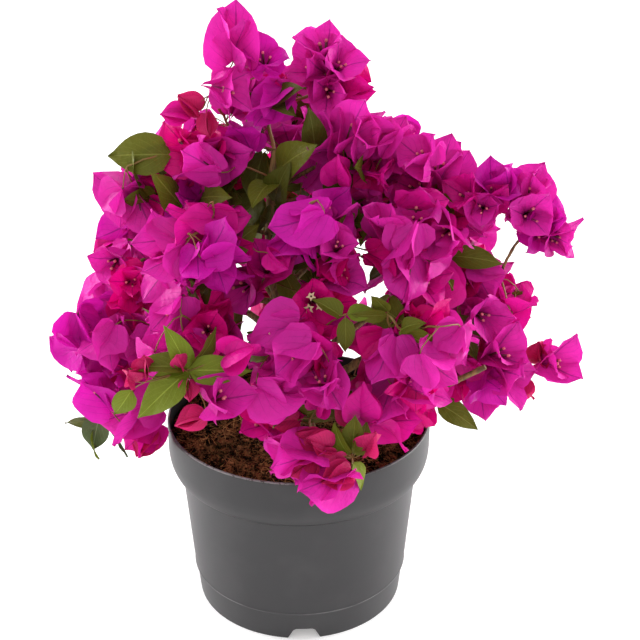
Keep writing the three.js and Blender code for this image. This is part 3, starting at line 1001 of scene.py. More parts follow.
# Sprays set one by one. Each has a mass, the place of its fork from the mass's middle in millimetres and
# the way the fork points. Its parts have a kind, a place from the fork, a direction, a size, how far
# they are open and a tint.
ARRANGED = (
    ("crown_tip", (-12, -2, -32), (-0.2, -0.1, 1.0), (
        ("flower", (14, 2, 21), (0.02, -0.15, 1.0), 1.14, 0.3, "bright"),
        ("flower", (1, -2, 6), (0.75, -0.50, 0.05), 0.90, 0.45, "bright"),
        ("flower", (31, 2, 14), (-0.02, -0.45, 0.9), 0.78, 0.6, "violet"),
        ("pod", (-14, -2, -11), (-0.9, -0.25, 0.1), 0.56, 0.05, "rose"),
        ("pod", (-8, 0, -10), (-0.6, -0.2, 0.6), 0.56, 0.05, None),
        ("pod", (-3, -3, -11), (0.1, -0.4, -0.65), 0.50, 0.05, None))),
    ("crown_top_right", (-4, 2, -8), (0.0, -0.2, 1.0), (
        ("flower", (-4, 0, 11), (-0.1, -0.4, 0.95), 0.98, 0.4, "bright"),
        ("flower", (0, -4, 6), (0.38, -0.5, 0.6), 0.9, 0.5, "bright"),
        ("flower", (-5, 2, 5), (-0.6, -0.5, 0.5), 0.9, 0.45, "bright"),
        ("flower", (-3, 0, -5), (0.1, -0.95, 0.2), 0.95, 0.5, "bright"),
        ("pod", (4, -1, -6), (0.8, -0.5, 0.2), 0.75, 0.05, "rose"),
        ("flower", (2, 3, 2), (0.1, 0.75, 0.6), 0.9, 0.5, "rose"))),
    ("shoulder_left", (-12, -2, 2), (-0.8, -0.2, 0.4), (
        ("leaf", (-5, -4, 1), (-0.93, -0.25, 0.10), 1.18, 1, "olive"),
        ("leaf", (-2, 0, 0), (-0.7, -0.3, -0.2), 0.9, 1, "dark"))),
    ("crown_top_left", (2, 12, -36), (0.0, -0.2, -0.4), (
        ("leaf", (-4, -3, -2), (-0.35, -0.45, -0.85), 0.95, 1, "dark"),
        ("leaf", (3, -2, -3), (0.55, -0.35, -0.7), 0.85, 1, "dark"),
        ("leaf", (-2, -4, -4), (0.0, -0.6, -0.8), 0.8, 1, "olive"))),
    ("crown_top_left", (-1, 10, -66), (0.0, -0.3, -0.1), (
        ("leaf", (-3, -3, 0), (-0.75, -0.4, -0.5), 1.0, 1, "dark"),
        ("leaf", (-2, -4, -2), (-0.35, -0.55, -0.75), 0.95, 1, "olive"),
        ("leaf", (4, -2, 0), (0.5, -0.4, -0.7), 0.85, 1, "dark"),
        ("leaf", (3, 0, 3), (0.6, -0.2, 0.4), 0.8, 1, "dark"))),
    ("young_leaves", (4, -2, 3), (0.0, -0.6, 0.5), (
        ("leaf", (-2, -1, -1), (-0.80, -0.35, -0.62), 0.98, 1, "fresh"),
        ("leaf", (-2, 0, 2), (-0.95, -0.1, 0.28), 0.85, 1, "olive"),
        ("leaf", (-1, 0, 2), (-0.22, -0.2, 0.95), 0.66, 1, "fresh"),
        ("leaf", (2, -1, 1), (0.95, -0.25, 0.16), 0.80, 1, "fresh"),
        ("leaf", (2, 2, 2), (0.75, 0.2, 0.55), 0.74, 1, "olive"),
        ("leaf", (0, -2, 0), (-0.8, -0.5, -0.05), 0.40, 1, "fresh"),
        ("leaf", (1, 0, -2), (0.6, -0.1, -0.35), 0.62, 1, "olive"),
        ("leaf", (-33, -2, -12), (-0.5, -0.3, -0.8), 0.62, 1, "fresh"),
        ("pod", (-3, -3, 4), (-0.15, -0.4, 0.8), 0.42, 0.05, None),
        ("pod", (0, -4, -4), (0.05, -0.6, -0.7), 0.42, 0.05, None),
        ("pod", (-24, -2, -1), (0.1, -0.3, 0.9), 0.46, 0.05, None),
        ("pod", (-30, -3, -5), (-0.2, -0.4, 0.6), 0.46, 0.05, None),
        ("pod", (8, -6, -26), (-0.85, -0.2, -0.15), 0.52, 0.05, None),
        ("pod", (22, 0, 10), (0.75, -0.45, 0.45), 0.80, 0.05, "rose"),
        ("flower", (12, -5, -17), (0.55, -0.55, 0.55), 1.0, 0.45, "bright"))),
    ("hanging_leaves", (5, -4, 15), (-0.3, -0.2, -0.5), (
        ("leaf", (-1, -1, 1), (-0.25, -0.35, -0.85), 0.86, 1, "grey"),
        ("leaf", (-5, -1, -9), (-0.30, -0.3, -0.9), 0.66, 1, "fresh"),
        ("leaf", (5, -1, -3), (0.20, -0.35, -0.85), 0.68, 1, "grey"),
        ("leaf", (-3, 1, 0), (-0.85, 0.1, -0.5), 0.66, 1, "dark"))),
    ("low_left_hanging", (25, -4, 13), (0.2, -0.3, -0.6), (
        ("flower", (-6, -3, 2), (-0.92, -0.42, 0.0), 1.24, 0.48, "bright"),
        ("flower", (-6, -2, -12), (-0.72, -0.40, -0.42), 0.84, 0.28, "rose"),
        ("pod", (-7, -2, -17), (-0.55, -0.3, -0.65), 0.66, 0.05, None),
        ("pod", (-10, 0, 16), (-0.2, -0.3, 0.9), 0.80, 0.05, "rose"),
        ("flower", (-14, 14, 4), (-0.7, 0.75, 0.1), 0.95, 0.5, "violet"))),
    ("front_spray", (18, -4, 13), (0.1, -0.3, -0.3), (
        ("flower", (-3, -4, -8), (-0.85, -0.5, -0.12), 1.12, 0.30, "bright"),
        ("pod", (-2, -7, -6), (-0.75, -0.45, 0.0), 0.66, 0.05, None),
        ("pod", (-13, -2, 8), (-0.75, -0.3, 0.55), 0.60, 0.05, None),
        ("pod", (-18, 2, 8), (-0.9, 0.0, 0.5), 0.52, 0.05, None),
        ("pod", (-4, -2, 1), (-0.95, -0.2, -0.1), 0.34, 0.05, None),
        ("pod", (-10, -4, 5), (-0.9, -0.3, 0.2), 0.34, 0.05, None),
        ("pod", (8, 0, 5), (0.25, -0.3, 0.7), 0.60, 0.05, None),
        ("pod", (-22, -3, -1), (-0.8, -0.4, -0.30), 0.50, 0.05, None),
        ("flower", (-20, 0, 3), (-0.97, -0.3, 0.04), 1.02, 0.2, "bright"),
        ("leaf", (1, -2, -3), (0.6, -0.35, -0.75), 0.56, 1, "fresh"),
        ("leaf", (-2, 0, 3), (-0.6, -0.1, 0.7), 0.65, 1, "fresh"),
        ("leaf", (0, 1, 4), (0.1, 0.1, 0.9), 0.7, 1, "olive"),
        ("leaf", (2, 0, 3), (0.5, 0.0, 0.8), 0.6, 1, "olive"))),
    ("low_front", (19, -6, 1), (0.3, -0.4, -0.4), (
        ("pod", (-8, -2, 0), (-0.9, -0.3, 0.1), 0.64, 0.05, None),
        ("pod", (4, -3, 8), (0.35, -0.3, 0.75), 0.56, 0.05, "rose"),
        ("pod", (29, -4, 4), (0.05, -0.25, 1.0), 0.92, 0.05, "rose"),
        ("pod", (24, 0, 0), (-0.6, -0.2, 0.6), 0.48, 0.05, None),
        ("leaf", (22, 4, 16), (-0.7, -0.2, -0.5), 1.05, 1, "olive"))),
    ("outrigger_inner", (-16, 0, -9), (-0.2, -0.2, 1.0), (
        ("flower", (-5, -4, 4), (-0.55, -0.55, 0.55), 0.85, 0.4, "rose"),
        ("flower", (4, -3, 4), (0.12, -0.4, 0.9), 0.88, 0.4, "violet"),
        ("flower", (0, -7, 1), (-0.15, -0.9, 0.3), 0.82, 0.4, "bright"),
        ("pod", (4, -6, 3), (0.4, -0.5, 0.75), 0.75, 0.05, "rose"),
        ("flower", (0, 5, 1), (-0.1, 0.8, 0.5), 0.85, 0.5, "violet"))),
    ("outrigger_inner", (3, 1, -14), (0.2, -0.1, 1.0), (
        ("flower", (-3, -2, 9), (-0.25, -0.35, 0.95), 0.92, 0.35, "violet"),
        ("flower", (6, -2, 7), (0.35, -0.25, 0.9), 0.9, 0.35, "bright"),
        ("flower", (5, -7, 1), (0.2, -0.85, 0.35), 0.95, 0.4, "bright"),
        ("flower", (9, -6, -5), (0.55, -0.7, -0.15), 0.85, 0.4, "violet"),
        ("flower", (5, 6, 4), (0.25, 0.8, 0.5), 0.9, 0.5, "bright"))),
    ("outrigger_outer", (-12, 0, -1), (0.9, -0.1, 0.3), (
        ("flower", (3, -5, 4), (0.05, -0.65, 0.7), 0.80, 0.4, "violet"),
        ("flower", (4, -3, 1), (0.88, -0.45, 0.04), 0.85, 0.4, "bright"),
        ("flower", (5, -5, 1), (0.5, -0.8, -0.05), 0.78, 0.4, "bright"),
        ("flower", (4, 5, 3), (0.45, 0.85, 0.25), 0.75, 0.5, "violet"))),
    ("low_right_tip", (-22, -3, -2), (0.8, -0.2, 0.1), (
        ("flower", (11, 0, 7), (0.66, -0.66, 0.34), 1.08, 0.6, "bright"),
        ("pod", (11, 2, 7), (-0.1, -0.3, 0.95), 0.62, 0.05, None),
        ("flower", (2, -2, -5), (-0.1, -0.35, -0.85), 0.48, 0.4, "young"))),
    ("mid_front_right", (-40, -2, 19), (0.0, -0.8, 0.4), (
        ("leaf", (-3, 0, -1), (-0.50, -0.2, 0.75), 0.55, 1, "olive"),
        ("leaf", (0, -1, -3), (0.05, -0.3, -0.85), 0.50, 1, "olive"),
        ("leaf", (2, 0, 0), (0.85, -0.2, 0.25), 0.48, 1, "fresh"))),
    ("mid_front_right", (-16, -2, 19), (0.3, -0.8, 0.3), (
        ("leaf", (-1, -1, 0), (-0.85, -0.3, 0.0), 0.48, 1, "olive"),
        ("leaf", (0, 0, 2), (-0.5, -0.1, 0.6), 0.45, 1, "olive"),
        ("leaf", (8, -6, -8), (0.8, -0.35, -0.35), 0.66, 1, "fresh"),
        ("leaf", (8, -5, -7), (0.5, -0.4, 0.6), 0.5, 1, "olive"),
        ("leaf", (9, -4, -11), (0.35, -0.3, -0.8), 0.70, 1, "olive"))),
    ("upper_right", (-8, 2, 4), (0.0, 0.0, 1.0), (
        ("flower", (2, -2, 9), (0.1, -0.25, 1.0), 0.95, 0.45, "bright"),
        ("flower", (-6, -4, 3), (-0.4, -0.65, 0.55), 0.9, 0.5, "rose"),
        ("flower", (8, 4, 5), (0.6, 0.2, 0.75), 0.9, 0.5, "bright"))),
    ("upper_front", (-35, 20, -30), (0.0, -0.4, 0.8), (
        ("flower", (1, -5, 4), (0.15, -0.65, 0.75), 1.0, 0.5, "rose"),
        ("flower", (-7, -3, -2), (-0.5, -0.8, 0.15), 0.95, 0.5, "bright"),
        ("leaf", (12, -4, 6), (0.25, -0.4, -0.9), 0.85, 1, "olive"))),
    ("upper_front", (-7, 6, -36), (0.0, -0.8, 0.2), (
        ("star", (0, -10, 3), (0.1, -0.95, 0.25), 0.9, 0.7, "deep"),)),
    ("mid_right", (-6, -14, 2), (0.3, -0.7, 0.1), (
        ("leaf", (-2, 4, 20), (0.75, -0.3, 0.1), 0.72, 1, "olive"),
        ("leaf", (2, -6, -16), (0.35, -0.5, -0.75), 0.85, 1, "dark"),
        ("leaf", (4, -4, -22), (-0.2, -0.5, -0.8), 0.7, 1, "olive"),
        ("flower", (10, -2, -14), (0.5, -0.8, 0.1), 0.98, 0.5, "bright"))),
    ("low_right", (-24, -12, -14), (0.4, -0.5, -0.4), (
        ("leaf", (0, 0, -4), (0.78, -0.3, -0.35), 0.72, 1, "olive"),)),
    ("low_right", (0, -10, 11), (0.5, -0.6, 0.2), (
        ("flower", (5, -4, 6), (0.55, -0.6, 0.5), 1.05, 0.5, "bright"),
        ("flower", (8, -4, -3), (0.7, -0.65, 0.0), 1.05, 0.5, "bright"),
        ("flower", (1, -5, -5), (0.30, -0.8, -0.45), 0.85, 0.4, "violet"))),
)
# Masses that hold nothing else, and the share of leaves in those that have more than the usual.
ARRANGED_ONLY = ("crown_tip", "young_leaves", "hanging_leaves", "front_spray", "low_right_tip",
                 "outrigger_inner", "outrigger_outer", "low_left_hanging")
LEAF_SHARE = {
    "upper_front": 0.10, "crown_top_back": 0.10, "mid_right": 0.08, "mid_back": 0.14, "mid_back_left": 0.10,
    "mid_back_right": 0.12, "upper_back_left": 0.12, "upper_back_right": 0.10, "low_back": 0.08}
LEAFY = ("leaf", "shade_leaf")
# Millimetres more that flowers stay inside a mass, past the inset of the settings.
EXTRA_INSET = {
    "upper_left": 7, "mid_left": 5, "shoulder_left": 2, "low_left": 1, "low_right": 2, "crown_top_right": 6,
    "upper_right": -2, "shoulder_right": -2, "low_front": 5, "mid_right": 8, "crown_top_back": 8,
    "crown_top_left": 5}
# Openings of the crown: a limb, a point of its route, the way from there and the half widths in
# millimetres.
WINDOWS = (("trunk", -1, (-5, -26, -20), (21, 33, 30)), ("stub_front_right", 5, (-6, -14, 6), (20, 22, 18)))
# The bare stem that stays in sight, with the half width and height kept free round its middle.
BARE_STEM, BARE_SPREAD = "stub_front_right", (10 * MM, 15 * MM)
# The crown's outline in the camera's view: the grid's step at a distance of one, and the cells that
# leaves and bracts may stand out past the foliage masses.
OUTLINE_STEP, OUTLINE_REACH = 0.002, 3
# Heights between which leaves are set by rule, and below which pods at the front are young.
LEAF_FLOOR, LEAF_CEILING, YOUNG_CEILING = 198 * MM, 330 * MM, 215 * MM
UP = np.array([0.0, 0.0, 1.0])
FRONT = np.array([0.0, -0.8, 0.55])


def seen(points):
    """How far across and how high each point lies in the camera's view, and how far off it is."""
    conf = settings().bush_stage
    rel = np.atleast_2d(points) - np.array(conf.camera_place)
    cos, sin = math.cos(conf.camera_pitch), math.sin(conf.camera_pitch)
    off = rel @ np.array([0.0, cos, -sin])
    return rel[:, 0] / off, rel @ np.array([0.0, sin, cos]) / off, off


@lru_cache(maxsize=None)
def foliage():
    """The foliage masses, and one search tree of all their faces."""
    masses = [Mass(name) for name in MASS_NODES]
    vertices, polygons = [], []
    for mass in masses:
        polygons += (mass.triangles + len(vertices)).tolist()
        vertices += mass.points.tolist()
    return masses, BVHTree.FromPolygons(vertices, polygons)


@lru_cache(maxsize=None)
def crown_outline():
    """Where the foliage masses stand in the camera's view: the grid's corner and its covered cells."""
    conf = settings().bush_stage
    masses, solid = foliage()
    cos, sin = math.cos(conf.camera_pitch), math.sin(conf.camera_pitch)
    view = np.array(seen(np.vstack([mass.points for mass in masses]))[:2])
    pad = (OUTLINE_REACH + 2) * OUTLINE_STEP
    corner = view.min(1) - pad
    covered = np.zeros(((view.max(1) + pad - corner) / OUTLINE_STEP).astype(int) + 1, bool)
    for i, j in np.ndindex(covered.shape):
        across, high = corner + (np.array([i, j]) + 0.5) * OUTLINE_STEP
        way = Vector((across, cos + sin * high, cos * high - sin))
        covered[i, j] = solid.ray_cast(Vector(conf.camera_place), way)[0] is not None
    grown = covered.copy()
    steps = range(-OUTLINE_REACH, OUTLINE_REACH + 1)
    for i, j in [(i, j) for i in steps for j in steps if i * i + j * j <= OUTLINE_REACH ** 2]:
        grown |= np.roll(covered, (i, j), (0, 1))
    return corner, grown


@lru_cache(maxsize=None)
def stem_place():
    """How far across and how high the bare stem's middle lies in the camera's view, and how far off."""
    low, top = (np.array(end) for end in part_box(BARE_STEM))
    return tuple(float(v[0]) for v in seen((low + top) / 2))


def in_sky(points):
    """Which points stand outside the foliage's outline, or in front of the bare stem."""
    across, high, off = seen(points)
    corner, covered = crown_outline()
    cell = ((np.stack([across, high], 1) - corner) / OUTLINE_STEP).astype(int)
    cell = np.clip(cell, 0, np.array(covered.shape) - 1)
    x, z, end = stem_place()
    wide, tall = BARE_SPREAD
    stem = ((across - x) * end / wide) ** 2 + ((high - z) * end / tall) ** 2 < 1
    return ~covered[cell[:, 0], cell[:, 1]] | (stem & (off < end))


def arranged_sprigs():
    """The sprays that are set one by one, in the frame's place."""
    sprigs = []
    for mass, place, lead, parts in ARRANGED:
        low, high = (np.array(corner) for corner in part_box(mass))
        fork = (low + high) / 2 + np.array(place) * MM
        hub = Sprig("fork", fork, lead)
        sprigs.append(hub)
        for kind, offset, axis, size, opening, tint in parts:
            sprigs.append(Sprig(kind, fork + np.array(offset) * MM, axis, size, opening, hub, tint))
            if kind == "leaf":
                sprigs[-1].face = FRONT + 0.3 * unit(fork * (1, 1, 0))
    return sprigs


def spray_tint(place, rng, inner=False):
    """A tint for a whole spray: cooler on one side of the bush, and mostly the crimson of painted shade
    inside it.
    """
    if inner and rng.rand() < 0.6:
        return "deep"
    score = noise.noise(Vector(place) * 13) - 2.2 * place[0] + 0.32 * rng.randn()
    if abs(score) > 0.42:
        return "violet" if score > 0 else "rose"
    # Now and then a spray outside takes the painted-shade crimson as well.
    return "deep" if rng.rand() < 0.13 else "bright"


class Field:
    """The places tried on one foliage mass: where they are, which way is out, and which stay open."""

    def __init__(self, mass, seed, windows):
        self.name, self.small = mass.name, mass.radius < SMALL_MASS
        self.rng = np.random.RandomState(seed)
        at, face, self.out = mass.samples(self.rng, PLACES_TRIED)
        away = at - CROWN_MIDDLE
        self.away = away / np.linalg.norm(away, axis=1)[:, None]
        solid = foliage()[1]
        clear = np.array([solid.ray_cast(Vector(p + n * 0.8 * MM), Vector(n), COVER_REACH)[0] is None
                          for p, n in zip(at, face)]) & ~in_sky(at)
        self.outer = clear & ((self.out * self.away).sum(1) > -0.15)
        conf = settings().bush_crown
        self.at = at - self.out * (conf.inset + EXTRA_INSET.get(mass.name, 0) * MM)
        for place, spread in windows:
            self.outer &= np.linalg.norm((self.at - place) / spread, axis=1) > 1
        self.covered = clear & ~self.outer
        self.depth = min(conf.depth, 1.1 * mass.radius)

    def head(self, i, nodding, tint):
        """A flower, pod or leaf of a spray at place i, and how far its head is from its base."""
        rng, out = self.rng, self.out[i]
        drop = self.depth * (0.95 + 0.1 * rng.rand())
        if nodding:
            axis = unit(0.30 * out - 0.75 * UP + 0.45 * rng.randn(3))
            base, reach = self.at[i] - 0.5 * drop * axis - 4 * MM * out, 0.5 * drop
        else:
            axis = unit(0.38 * out + 0.36 * self.away[i] + 0.10 * UP + 0.32 * rng.randn(3))
            base, reach = self.at[i] - drop * axis, drop
        chance = rng.rand()
        if chance < LEAF_SHARE.get(self.name, 0.02):
            return Sprig("leaf", base, axis, 0.65 + 0.35 * rng.rand()), reach
        if chance > 0.93:
            young = None if base[1] < -30 * MM and base[2] < YOUNG_CEILING else "rose"
            pod = Sprig("pod", base + 5 * MM * axis, axis, 0.5 + 0.25 * rng.rand(), 0.05, tint=young)
            return pod, reach
        size, opening = 0.86 + 0.22 * rng.rand(), 0.2 + 0.6 * rng.rand()
        return Sprig("flower", base, axis, size, opening, tint=tint), reach

    def sprays(self, room, skin):
        """Sprays of up to three over the outside, each on a fork of its own."""
        conf, rng, sprigs = settings().bush_crown, self.rng, []
        gap = conf.spacing * (0.9 if self.small else 1.0)
        picked = [i for i in np.flatnonzero(self.outer) if skin.take(self.at[i], gap)]
        for group in threes(self.at[picked], SPRAY_REACH):
            ids = [picked[k] for k in group]
            nodding = rng.rand() < conf.nodding
            tint = spray_tint(self.at[ids].mean(0), rng)
            parts = []
            for i in ids:
                part, reach = self.head(i, nodding, tint)
                room.fit(part, rng, reach, swing=0.20 if nodding else 0.34)
                if in_sky(part.cloud()).sum() <= 2:
                    parts.append(part)
            if not parts:
                continue
            lead = unit(sum(part.axis for part in parts))
            fork = sum(part.base for part in parts) / len(parts) - 12 * MM * lead + 2 * MM * rng.randn(3)
            hub = Sprig("fork", fork, self.out[ids].mean(0) if nodding else lead)
            for part in parts:
                part.fork = hub
            sprigs += [hub] + parts
        return sprigs

    def filling(self, room, leaf_skin, second, shade):
        """The leaves of the outside, the flowers behind it, and the shaded ones where masses meet."""
        rng, sprigs = self.rng, []

        def keep(part, reach=0.0, **limits):
            if room.fit(part, rng, reach, **limits):
                sprigs.append(part)

        for i in np.flatnonzero(self.outer):
            at, out = self.at[i], self.out[i]
            if LEAF_FLOOR < at[2] < LEAF_CEILING and leaf_skin.take(at):
                way = 0.7 * out + 0.6 * rng.randn(3) - 0.15 * UP
                base = at - out * (27 + 10 * rng.rand()) * MM
                keep(Sprig("leaf", base, way, 0.6 + 0.35 * rng.rand()), swing=0.45, bear=1.6)
        for i in np.flatnonzero(self.outer):
            at, out = self.at[i], self.out[i]
            if not self.small and second.take(at - 12 * MM * out):
                axis = unit(0.5 * out + 0.3 * self.away[i] + 0.5 * rng.randn(3))
                kind = "flower" if rng.rand() < 0.72 or at[2] < LEAF_FLOOR else "shade_leaf"
                size, opening = 0.82 + 0.2 * rng.rand(), 0.3 + 0.5 * rng.rand()
                part = Sprig(kind, at - 13 * MM * out - self.depth * axis, axis, size, opening)
                # Flowers behind the outside mostly take the crimson of painted shade.
                part.tint = spray_tint(part.base, rng, True) if kind == "flower" else None
                keep(part, self.depth, swing=0.5, bear=3.2)
        for i in np.flatnonzero(self.covered):
            at, out = self.at[i], self.out[i]
            if shade.take(at):
                way = 0.5 * out + 0.6 * rng.randn(3)
                kind = "shade_leaf" if rng.rand() < 0.5 and at[2] > LEAF_FLOOR else "flower"
                size = 0.65 + 0.3 * rng.rand()
                # The flowers here take the crimson of painted shade.
                keep(Sprig(kind, at - 14 * MM * out, way, size, 0.5, tint="deep"), swing=0.5, bear=5.0)
        return sprigs


@lru_cache(maxsize=None)
def crown_plan():
    """Every fork, flower and leaf: the sprays set one by one, then those the foliage masses give."""
    conf = settings().bush_crown
    windows = [(np.array(limb_route(node)[k][0]) + np.array(shift) * MM, np.array(spread) * MM)
               for node, k, shift, spread in WINDOWS]
    room = Room(BLADE_ROOM)
    sprigs = arranged_sprigs()
    own_rng = np.random.RandomState(conf.seed + 5)
    for sprig in sprigs:
        if sprig.kind != "fork":
            room.fit(sprig, own_rng)
    held = [sprig.heart() for sprig in sprigs if sprig.kind != "fork"]
    skin, second = Spacer(conf.spacing, held), Spacer(conf.spacing * 1.1)
    leaf_skin, shade = Spacer(LEAF_SPACING, held), Spacer(SHADE_SPACING)
    fields = []
    for k, mass in enumerate(foliage()[0]):
        if mass.name not in ARRANGED_ONLY:
            field = Field(mass, 100 * conf.seed + k, windows)
            sprigs += field.sprays(room, skin)
            fields.append(field)
    for field in fields:
        sprigs += field.filling(room, leaf_skin, second, shade)
    for leaf in limb_leaves(own_rng):
        if room.fit(leaf, own_rng, swing=0.4, bear=3.0):
            sprigs.append(leaf)
    return sprigs


def limb_leaves(rng):
    """Shade leaves set alternately along the boughs, inside the crown."""
    leaves = []
    for node in LIMB_NODES:
        if node == "twig_right_outer":
            continue
        path = resampled(limb_route(node), 2.4 * MM)
        bare = 0.62 if node == "trunk" else 0.38
        for k in range(int(len(path) * bare), len(path) - 1, 4):
            if path[k][0][2] < LEAF_FLOOR:
                continue
            along = unit(np.array(path[k + 1][0] - path[k][0]))
            side = np.cross(along, rng.randn(3))
            way = unit(side) + 0.5 * along + 0.2 * UP
            base = np.array(path[k][0]) + unit(way) * (5 + 9 * rng.rand()) * MM
            leaves.append(Sprig("shade_leaf", base, way, 0.7 + 0.35 * rng.rand()))
    return leaves


# ---- Twigs ---------------------------------------------------------------------------------------

# Twigs thicker than this are woody, the rest green.
WOODY_RADIUS = 0.75 * MM


@lru_cache(maxsize=None)
def grown_twigs():
    """Paths of twigs that branch from the limbs to every sprig: lists of (point, radius)."""
    conf = settings().bush_crown
    rng = np.random.RandomState(conf.seed + 1)
    places, parents, heads = [], [], []
    for node in LIMB_NODES:
        route = resampled(limb_route(node), 4 * MM)
        points = [np.array(p) for p, _ in route]
        tip_share = 0.25 if node == "trunk" else 0.35
        for k, p in enumerate(points):
            if k < len(points) * tip_share:
                continue
            places.append(p)
            parents.append(-1)
            heads.append(unit(points[min(k + 1, len(points) - 1)] - points[max(k - 1, 0)]))
    root_count = len(places)
    roots = np.array(places)
    sprigs = crown_plan()
    reach = [np.linalg.norm(roots - s.base, axis=1).min() + (1.0 if s.fork else 0.0) for s in sprigs]
    chains, open_nodes = [], list(range(root_count))
    tip_of = {}
    for index in np.argsort(reach):
        sprig = sprigs[index]
        if sprig.fork:
            start = tip_of[sprig.fork]
        else:
            candidates = np.array([places[i] for i in open_nodes])
            gaps = np.linalg.norm(candidates - sprig.base, axis=1)
            toward = ((sprig.base - candidates) * np.array([heads[i] for i in open_nodes])).sum(1)
            cost = gaps * (1.0 - 0.35 * toward / np.maximum(gaps, 1e-6))
            cost[gaps < 7 * MM] += 12 * MM
            start = open_nodes[int(np.argmin(cost))]
        a, b = places[start], sprig.base
        gap = np.linalg.norm(b - a)
        leave = unit(0.7 * heads[start] + 0.9 * unit(b - a) + 0.15 * rng.randn(3)) * gap * 0.9
        arrive = unit((1.1 if sprig.fork else 0.55) * sprig.axis + 0.7 * unit(b - a)) * gap * 0.9
        count = max(4 if sprig.fork else 3, int(round(gap / conf.twig_step)))
        chain = [start]
        for k in range(1, count + 1):
            t = k / count
            h = (2 * t ** 3 - 3 * t ** 2 + 1, t ** 3 - 2 * t ** 2 + t,
                 -2 * t ** 3 + 3 * t ** 2, t ** 3 - t ** 2)
            p = h[0] * a + h[1] * leave + h[2] * b + h[3] * arrive
            if k < count:
                p = p + (0.1 if sprig.fork else 0.25) * MM * rng.randn(3)
            parents.append(chain[-1])
            places.append(p)
            heads.append(unit(p - places[chain[-1]]))
            chain.append(len(places) - 1)
        chains.append((chain, sprig))
        tip_of[sprig] = chain[-1]
        if not sprig.fork:
            open_nodes += chain[1:] if sprig.kind == "fork" else chain[1:max(1, len(chain) - 3)]
    load = np.zeros(len(places))
    for chain, sprig in chains:
        load[chain[-1]] += {"flower": 1.0, "star": 1.0, "pod": 0.8, "fork": 0.0}.get(sprig.kind, 0.6)
    for i in range(len(places) - 1, root_count - 1, -1):
        if parents[i] >= root_count:
            load[parents[i]] += load[i]
    radius = np.clip(0.42 * MM * np.maximum(load, 0.5) ** 0.40, 0.36 * MM, 1.5 * MM)
    paths = []
    for chain, _ in chains:
        first = radius[chain[1]]
        paths.append([(places[chain[0]], first)] + [(places[i], radius[i]) for i in chain[1:]])
    return paths


def twig_material(name, colour):
    shader = Shader(name)
    at = shader.place()
    tone = shader.noise(at, 85.0, 3.0)
    redder = tuple(c * f for c, f in zip(colour, (1.05, 0.62, 0.75)))
    shade = shader.blend(shader.smooth(tone, 0.42, 0.62), colour, redder)
    normal = shader.bump(shader.noise(at, 900.0, 2.0), 0.3, 0.15 * MM)
    return shader.finish(shader.surface(colour=shade, roughness=0.6, normal=normal))


def make_twigs():
    conf = settings().bush_limbs
    paths = grown_twigs()
    woody = [p for p in paths if max(r for _, r in p) > WOODY_RADIUS]
    green = [p for p in paths if max(r for _, r in p) <= WOODY_RADIUS]
    brown = tuple((a + b) / 2 for a, b in zip(conf.bark_colour, conf.twig_colour))
    for name, part, colour, sides in (("woody_twig", woody, brown, 1),
                                      ("green_twig", green, conf.twig_colour[:], 0)):
        settle(tubes_object(name + "s", part, twig_material(name, colour), sides=sides), "bark")


# ---- Bracts, florets and leaves ------------------------------------------------------------------

BRACT_TINTS = {
    # The main magenta is paler for its extra green: the bracts' own colour with a painted highlight, the
    # sheen of lit bracts on the outside.
    "bright": (0.71, 0.0220, 0.385),
    "rose": (0.72, 0.0080, 0.305),
    "violet": (0.67, 0.0105, 0.412),
    # The crimson with the least green and blue is painted shade, the colour of shaded bracts, given mostly to
    # flowers inside the crown.
    "deep": (0.74, 0.0020, 0.230),
}
POD_TINT = (0.62, 0.020, 0.150)
LEAF_TINTS = {
    "olive": (0.120, 0.128, 0.012),
    "fresh": (0.160, 0.205, 0.016),
    "dark": (0.080, 0.084, 0.010),
    "grey": (0.086, 0.112, 0.046),
}
# The chances of those tints, in their order, for leaves that have none yet.
LEAF_CHANCES = {"leaf": (0.50, 0.12, 0.34, 0.04), "shade_leaf": (0.40, 0.02, 0.56, 0.02)}


def frame_of(axis, roll, size, base, face=None):
    """A matrix that stands a template's +Z along the axis at base, turned by roll; -X goes to the face."""
    z = Vector(axis).normalized()
    x = z.orthogonal() if face is None else -Vector(face)
    x = (x - x.dot(z) * z).normalized()
    turn = Matrix((x, z.cross(x), z)).transposed().to_4x4()
    return Matrix.Translation(Vector(base)) @ turn @ Matrix.Rotation(roll, 4, "Z") @ Matrix.Scale(size, 4)


def blade_material(name, colour, vein, rib, translucency, roughness, veins):
    """A thin blade that lets light through, with its veins along its own UV map."""
    shader = Shader(name)
    across, along, _ = shader.split(shader.node("ShaderNodeUVMap", {"uv_map": "UVMap"}))
    side = abs(across - 0.5) * 2
    midrib = 1 - shader.smooth(side, 0.012, 0.06)
    wave = shader.node("ShaderNodeMath", {"operation": "SINE"},
                       {0: (along - side * 0.55) * (2 * math.pi * veins)})
    lateral = shader.smooth(wave, 0.90, 1.0) * (1 - shader.smooth(side, 0.55, 0.95))
    cloud = shader.noise(shader.place(), 95.0, 2.0)
    base = shader.blend(shader.smooth(cloud, 0.35, 0.7) * 0.35, colour, tuple(c * 0.80 for c in colour))
    base = shader.blend(lateral * vein, base, rib)
    base = shader.blend(midrib * min(1.0, 2.8 * vein), base, rib)
    crinkle = shader.noise(shader.place(), 230.0, 3.0)
    normal = shader.bump(midrib + lateral * 0.5 + crinkle * 4.2, 0.5, 0.45 * MM)
    skin = shader.surface(colour=base, roughness=roughness, normal=normal, specular=0.16)
    glow = shader.node("ShaderNodeBsdfTranslucent", None, {"Color": base})
    return shader.finish(shader.node("ShaderNodeMixShader", None, {0: translucency, 1: skin, 2: glow}))


